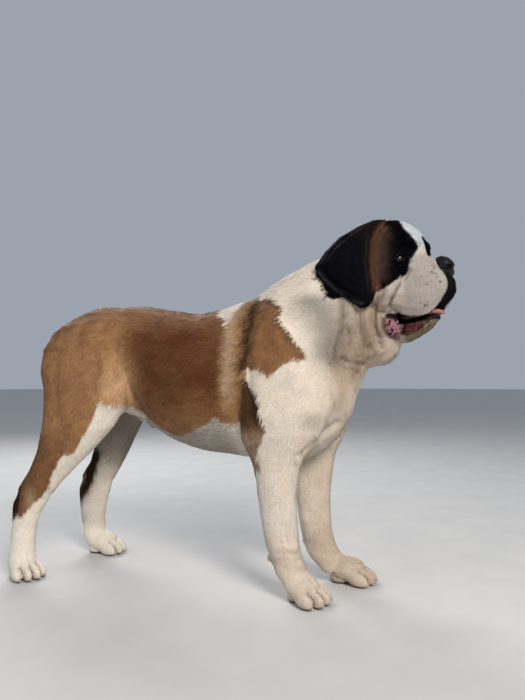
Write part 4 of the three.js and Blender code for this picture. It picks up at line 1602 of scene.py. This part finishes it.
def eye_mesh(name, side):
    """A ball whose poles lie on the eye's axis, with the cornea standing a little proud."""
    rings, around = 40, 48
    polar = np.linspace(0.02, math.pi - 0.02, rings)
    turn = np.arange(around) * math.tau / around
    bulge = 1 + CORNEA_BULGE * np.exp(-((polar / CORNEA_WIDTH) ** 2))
    radius = (EYE_RADIUS - EYE_INSET) * bulge
    out = (radius * np.cos(polar))[:, None] * np.ones(around)
    across = (radius * np.sin(polar))[:, None] * np.cos(turn)
    up = (radius * np.sin(polar))[:, None] * np.sin(turn)
    local = np.stack([across, up, out], -1).reshape(-1, 3)
    points = head_to_dog(EYE_AT * (1, side, 1) + local @ eye_axes(side).T)
    mesh = mesh_from(name, points, ring_quads(rings, around))
    keep_value(mesh, "off_axis", np.repeat(polar / (math.pi / 2), around))
    build = bmesh.new()
    build.from_mesh(mesh)
    bmesh.ops.holes_fill(build, edges=build.edges, sides=around)
    bmesh.ops.recalc_face_normals(build, faces=build.faces)
    build.to_mesh(mesh)
    build.free()
    mesh.shade_smooth()
    return mesh


# Nose
NOSE_SWELL = 0.9
NOSE_VOXEL = 0.9
NOSE_ROUNDS = 70

# Forms of the nose, left side, from the head's origin: width, height, path
NOSTRIL = [(180, 17, -27), (176, 25, -30)]
NOSE_FORMS = [
    (4.4, -3.6, NOSTRIL),
    (2.6, -2.4, [(184, 0, -18), (188, 0, -34), (184, 0, -50)]),
    (3.0, 1.2, [(182, 10, -20), (186, 19, -28), (180, 24, -38)]),
    (2.2, -1.4, [(168, 24, -22), (176, 27, -30), (176, 26, -40)]),
]


def nose_mesh():
    points, faces = fused(["nose"], NOSE_SWELL, NOSE_VOXEL)
    points = rounded(points, faces, NOSE_ROUNDS)
    head = head_formed(points, faces, NOSE_FORMS)
    mesh = mesh_from("nose_skin", head_to_dog(head), faces)
    keep_value(mesh, "nostril", near_path(mirrored(dog_to_head(points)), NOSTRIL, 4.6, 4))
    return mesh


# Tongue, with the groove down its middle
TONGUE_VOXEL = 1.5
TONGUE_ROUNDS = 16
TONGUE_FORMS = [(3.5, -2.5, [(60, 0, -126), (120, 0, -126), (168, 0, -130)])]


def tongue_mesh():
    points, faces = fused(["tongue"], 0.0, TONGUE_VOXEL)
    head = head_formed(rounded(points, faces, TONGUE_ROUNDS), faces, TONGUE_FORMS)
    mesh = mesh_from("tongue_flesh", head_to_dog(head), faces)
    keep_value(mesh, "forward", step_between(head[:, 0], 118, 144))
    return mesh


# Claws: size, how far each bends and points down, how high it is, and how far its middle is
# from the paw's place
CLAW_LENGTH = 19
CLAW_RADIUS = 4.3
CLAW_DROP = 3.0
CLAW_PITCH = math.radians(20)
CLAW_HEIGHT = 12
TOE_REACH = (36, 50)  # of an outer and an inner toe, which paws scale by their length
CLAW_AHEAD = 31  # of the toe's reach


def claw_points():
    """A claw along +X, tapered and bent down towards its tip."""
    rings, around = 9, 12
    along = np.linspace(0, 1, rings)
    turn = np.arange(around) * math.tau / around
    radius = CLAW_RADIUS * np.sqrt(np.clip(1 - along**1.8, 0.01, 1))
    x = (along - 0.5) * CLAW_LENGTH
    drop = -CLAW_DROP * along**2
    y = radius[:, None] * 0.8 * np.cos(turn)
    z = drop[:, None] + radius[:, None] * np.sin(turn)
    points = np.stack([np.repeat(x, around).reshape(rings, around), y, z], -1)
    return points.reshape(-1, 3), ring_quads(rings, around)


def claws_mesh():
    shape, quads = claw_points()
    c, s = math.cos(CLAW_PITCH), math.sin(CLAW_PITCH)
    tilted = shape @ np.array([[c, 0, -s], [0, 1, 0], [s, 0, c]])
    outer, inner = TOE_REACH
    points, faces = [], []
    for x, y, turn, length, width in PAW_PLACES.values():
        for toe in TOES:
            reach = (outer if abs(toe) > 20 else inner) * length
            placed = turned(tilted, math.radians(toe * 0.28))
            placed += (reach + CLAW_AHEAD, toe * width * 1.1, CLAW_HEIGHT)
            faces.append(quads + len(shape) * len(points))
            points.append(turned(placed, math.radians(turn)) + (x, y, 0))
    return mesh_from("claws", np.vstack(points), np.vstack(faces))


# Stage, in metres

FLOOR_RADIUS = 30
FLOOR_DROP = 0.0005
FLOOR_TONES = [(0.3, 0.54), (0.7, (0.58, 0.58, 0.57))]

# Lamps: place, what each aims at, width of its disk, watts, tone
LAMPS = {
    "key": ((2.2, -2.6, 2.5), (0.1, 0, 0.45), 1.4, 145, (1.0, 0.93, 0.84)),
    "fill": ((-2.4, -2.8, 2.2), (-0.2, 0, 0.5), 2.4, 26, (0.95, 0.97, 1.0)),
    "rim": ((-2.0, 2.2, 2.8), (-0.1, 0, 0.6), 1.8, 80, (1.0, 0.98, 0.95)),
}
SKY_TONE = (0.80, 0.87, 1.0, 1)
SKY_STRENGTH = 0.42

CAMERA_AT = np.array([321.1, -1555.7, 538.6])  # in the dog's own axes
CAMERA_TURN = math.radians(17.2866)
CAMERA_TILT = math.radians(2.6276)
FOCAL_PIXELS = 610
FRAME_HEIGHT = 700
SENSOR = 36


def soft_light(name, place, aim, size, watts, tone):
    lamp = bpy.data.lights.new(name, "AREA")
    lamp.shape = "DISK"
    lamp.size = size
    lamp.energy = watts
    lamp.color = tone
    light = bpy.data.objects.new(name, lamp)
    light.location = place
    light.rotation_euler = (Vector(aim) - Vector(place)).to_track_quat("-Z", "Y").to_euler()
    bpy.context.scene.collection.objects.link(light)


def build_floor():
    build = bmesh.new()
    bmesh.ops.create_circle(build, cap_ends=True, radius=FLOOR_RADIUS, segments=96)
    mesh = mesh_of(build, "floor")
    surface = Surface("floor", Roughness=0.9)
    surface.feed("Base Color", surface.ramp(surface.noise(6), *FLOOR_TONES))
    mesh.materials.append(surface.material)
    floor = shown("floor", mesh)
    floor.location.z = -FLOOR_DROP


def build_light():
    world = bpy.data.worlds.new("studio")
    bpy.context.scene.world = world
    world.use_nodes = True
    background = world.node_tree.nodes["Background"]
    background.inputs["Color"].default_value = SKY_TONE
    background.inputs["Strength"].default_value = SKY_STRENGTH
    for name, lamp in LAMPS.items():
        soft_light(name, *lamp)


def build_camera():
    data = bpy.data.cameras.new("camera")
    data.sensor_width = SENSOR
    data.lens = FOCAL_PIXELS / FRAME_HEIGHT * SENSOR
    camera = bpy.data.objects.new("camera", data)
    camera.location = to_frame(CAMERA_AT)
    camera.rotation_euler = (math.pi / 2 + CAMERA_TILT, 0, CAMERA_TURN)
    bpy.context.scene.collection.objects.link(camera)
    bpy.context.scene.camera = camera
    bpy.context.scene.view_settings.view_transform = "Standard"


# Build


def build_dog():
    points, faces, regions = joined_arrays(built_skin(), built_ears())
    links = links_of(faces)
    normals = point_normals(points, faces)
    inside = mouth_inside(points, faces, regions)
    bare = bareness(points, regions, inside)
    under_nose = spread(is_in(regions, ["nose"]).astype(float), links, 3)
    depth = hair_field(regions, SKIN_DEPTH, links) * (1 - bare)
    depth += 2.8 * step_between(under_nose, 0.02, 0.4)
    points = points - normals * depth[:, None]
    skin = {
        "points": points,
        "faces": faces,
        "regions": regions,
        "normals": normals,
        "length": hair_length(points, regions, links),
        "width": hair_field(regions, TUFT_WIDTH, links),
        "lie": unit(neighbour_mean(coat_lie(points, regions), links)),
        "bare": bare,
    }
    mesh = mesh_from("skin", points, faces)
    paint(mesh, coat_colour(points, regions, inside, ragged_edges(points)))
    keep_value(mesh, "wet", bare)
    flesh = [n for n in FLESH if n not in ("nose", "left_eye", "right_eye")]
    dressed("skin", mesh, skin_surface(), flesh + list(EARS))
    hair = hair_surface("hair", 0.6, 0.0004)
    for seed, (name, (names, count, slot)) in enumerate(COAT.items()):
        count = count
        dressed(name, tufted(name, skin, names, count, seed + 101), hair)
    for node, side in (("left_eye", 1), ("right_eye", -1)):
        mesh = eye_mesh(node + "_ball", side)
        dressed(node + "_ball", mesh, eye_surface(), [node])
    dressed("nose_skin", nose_mesh(), nose_surface(), ["nose"])
    dressed("tongue_flesh", tongue_mesh(), tongue_surface(), ["tongue"])
    dressed("claws", claws_mesh(), claw_surface())


build_dog()
build_floor()
build_light()
build_camera()
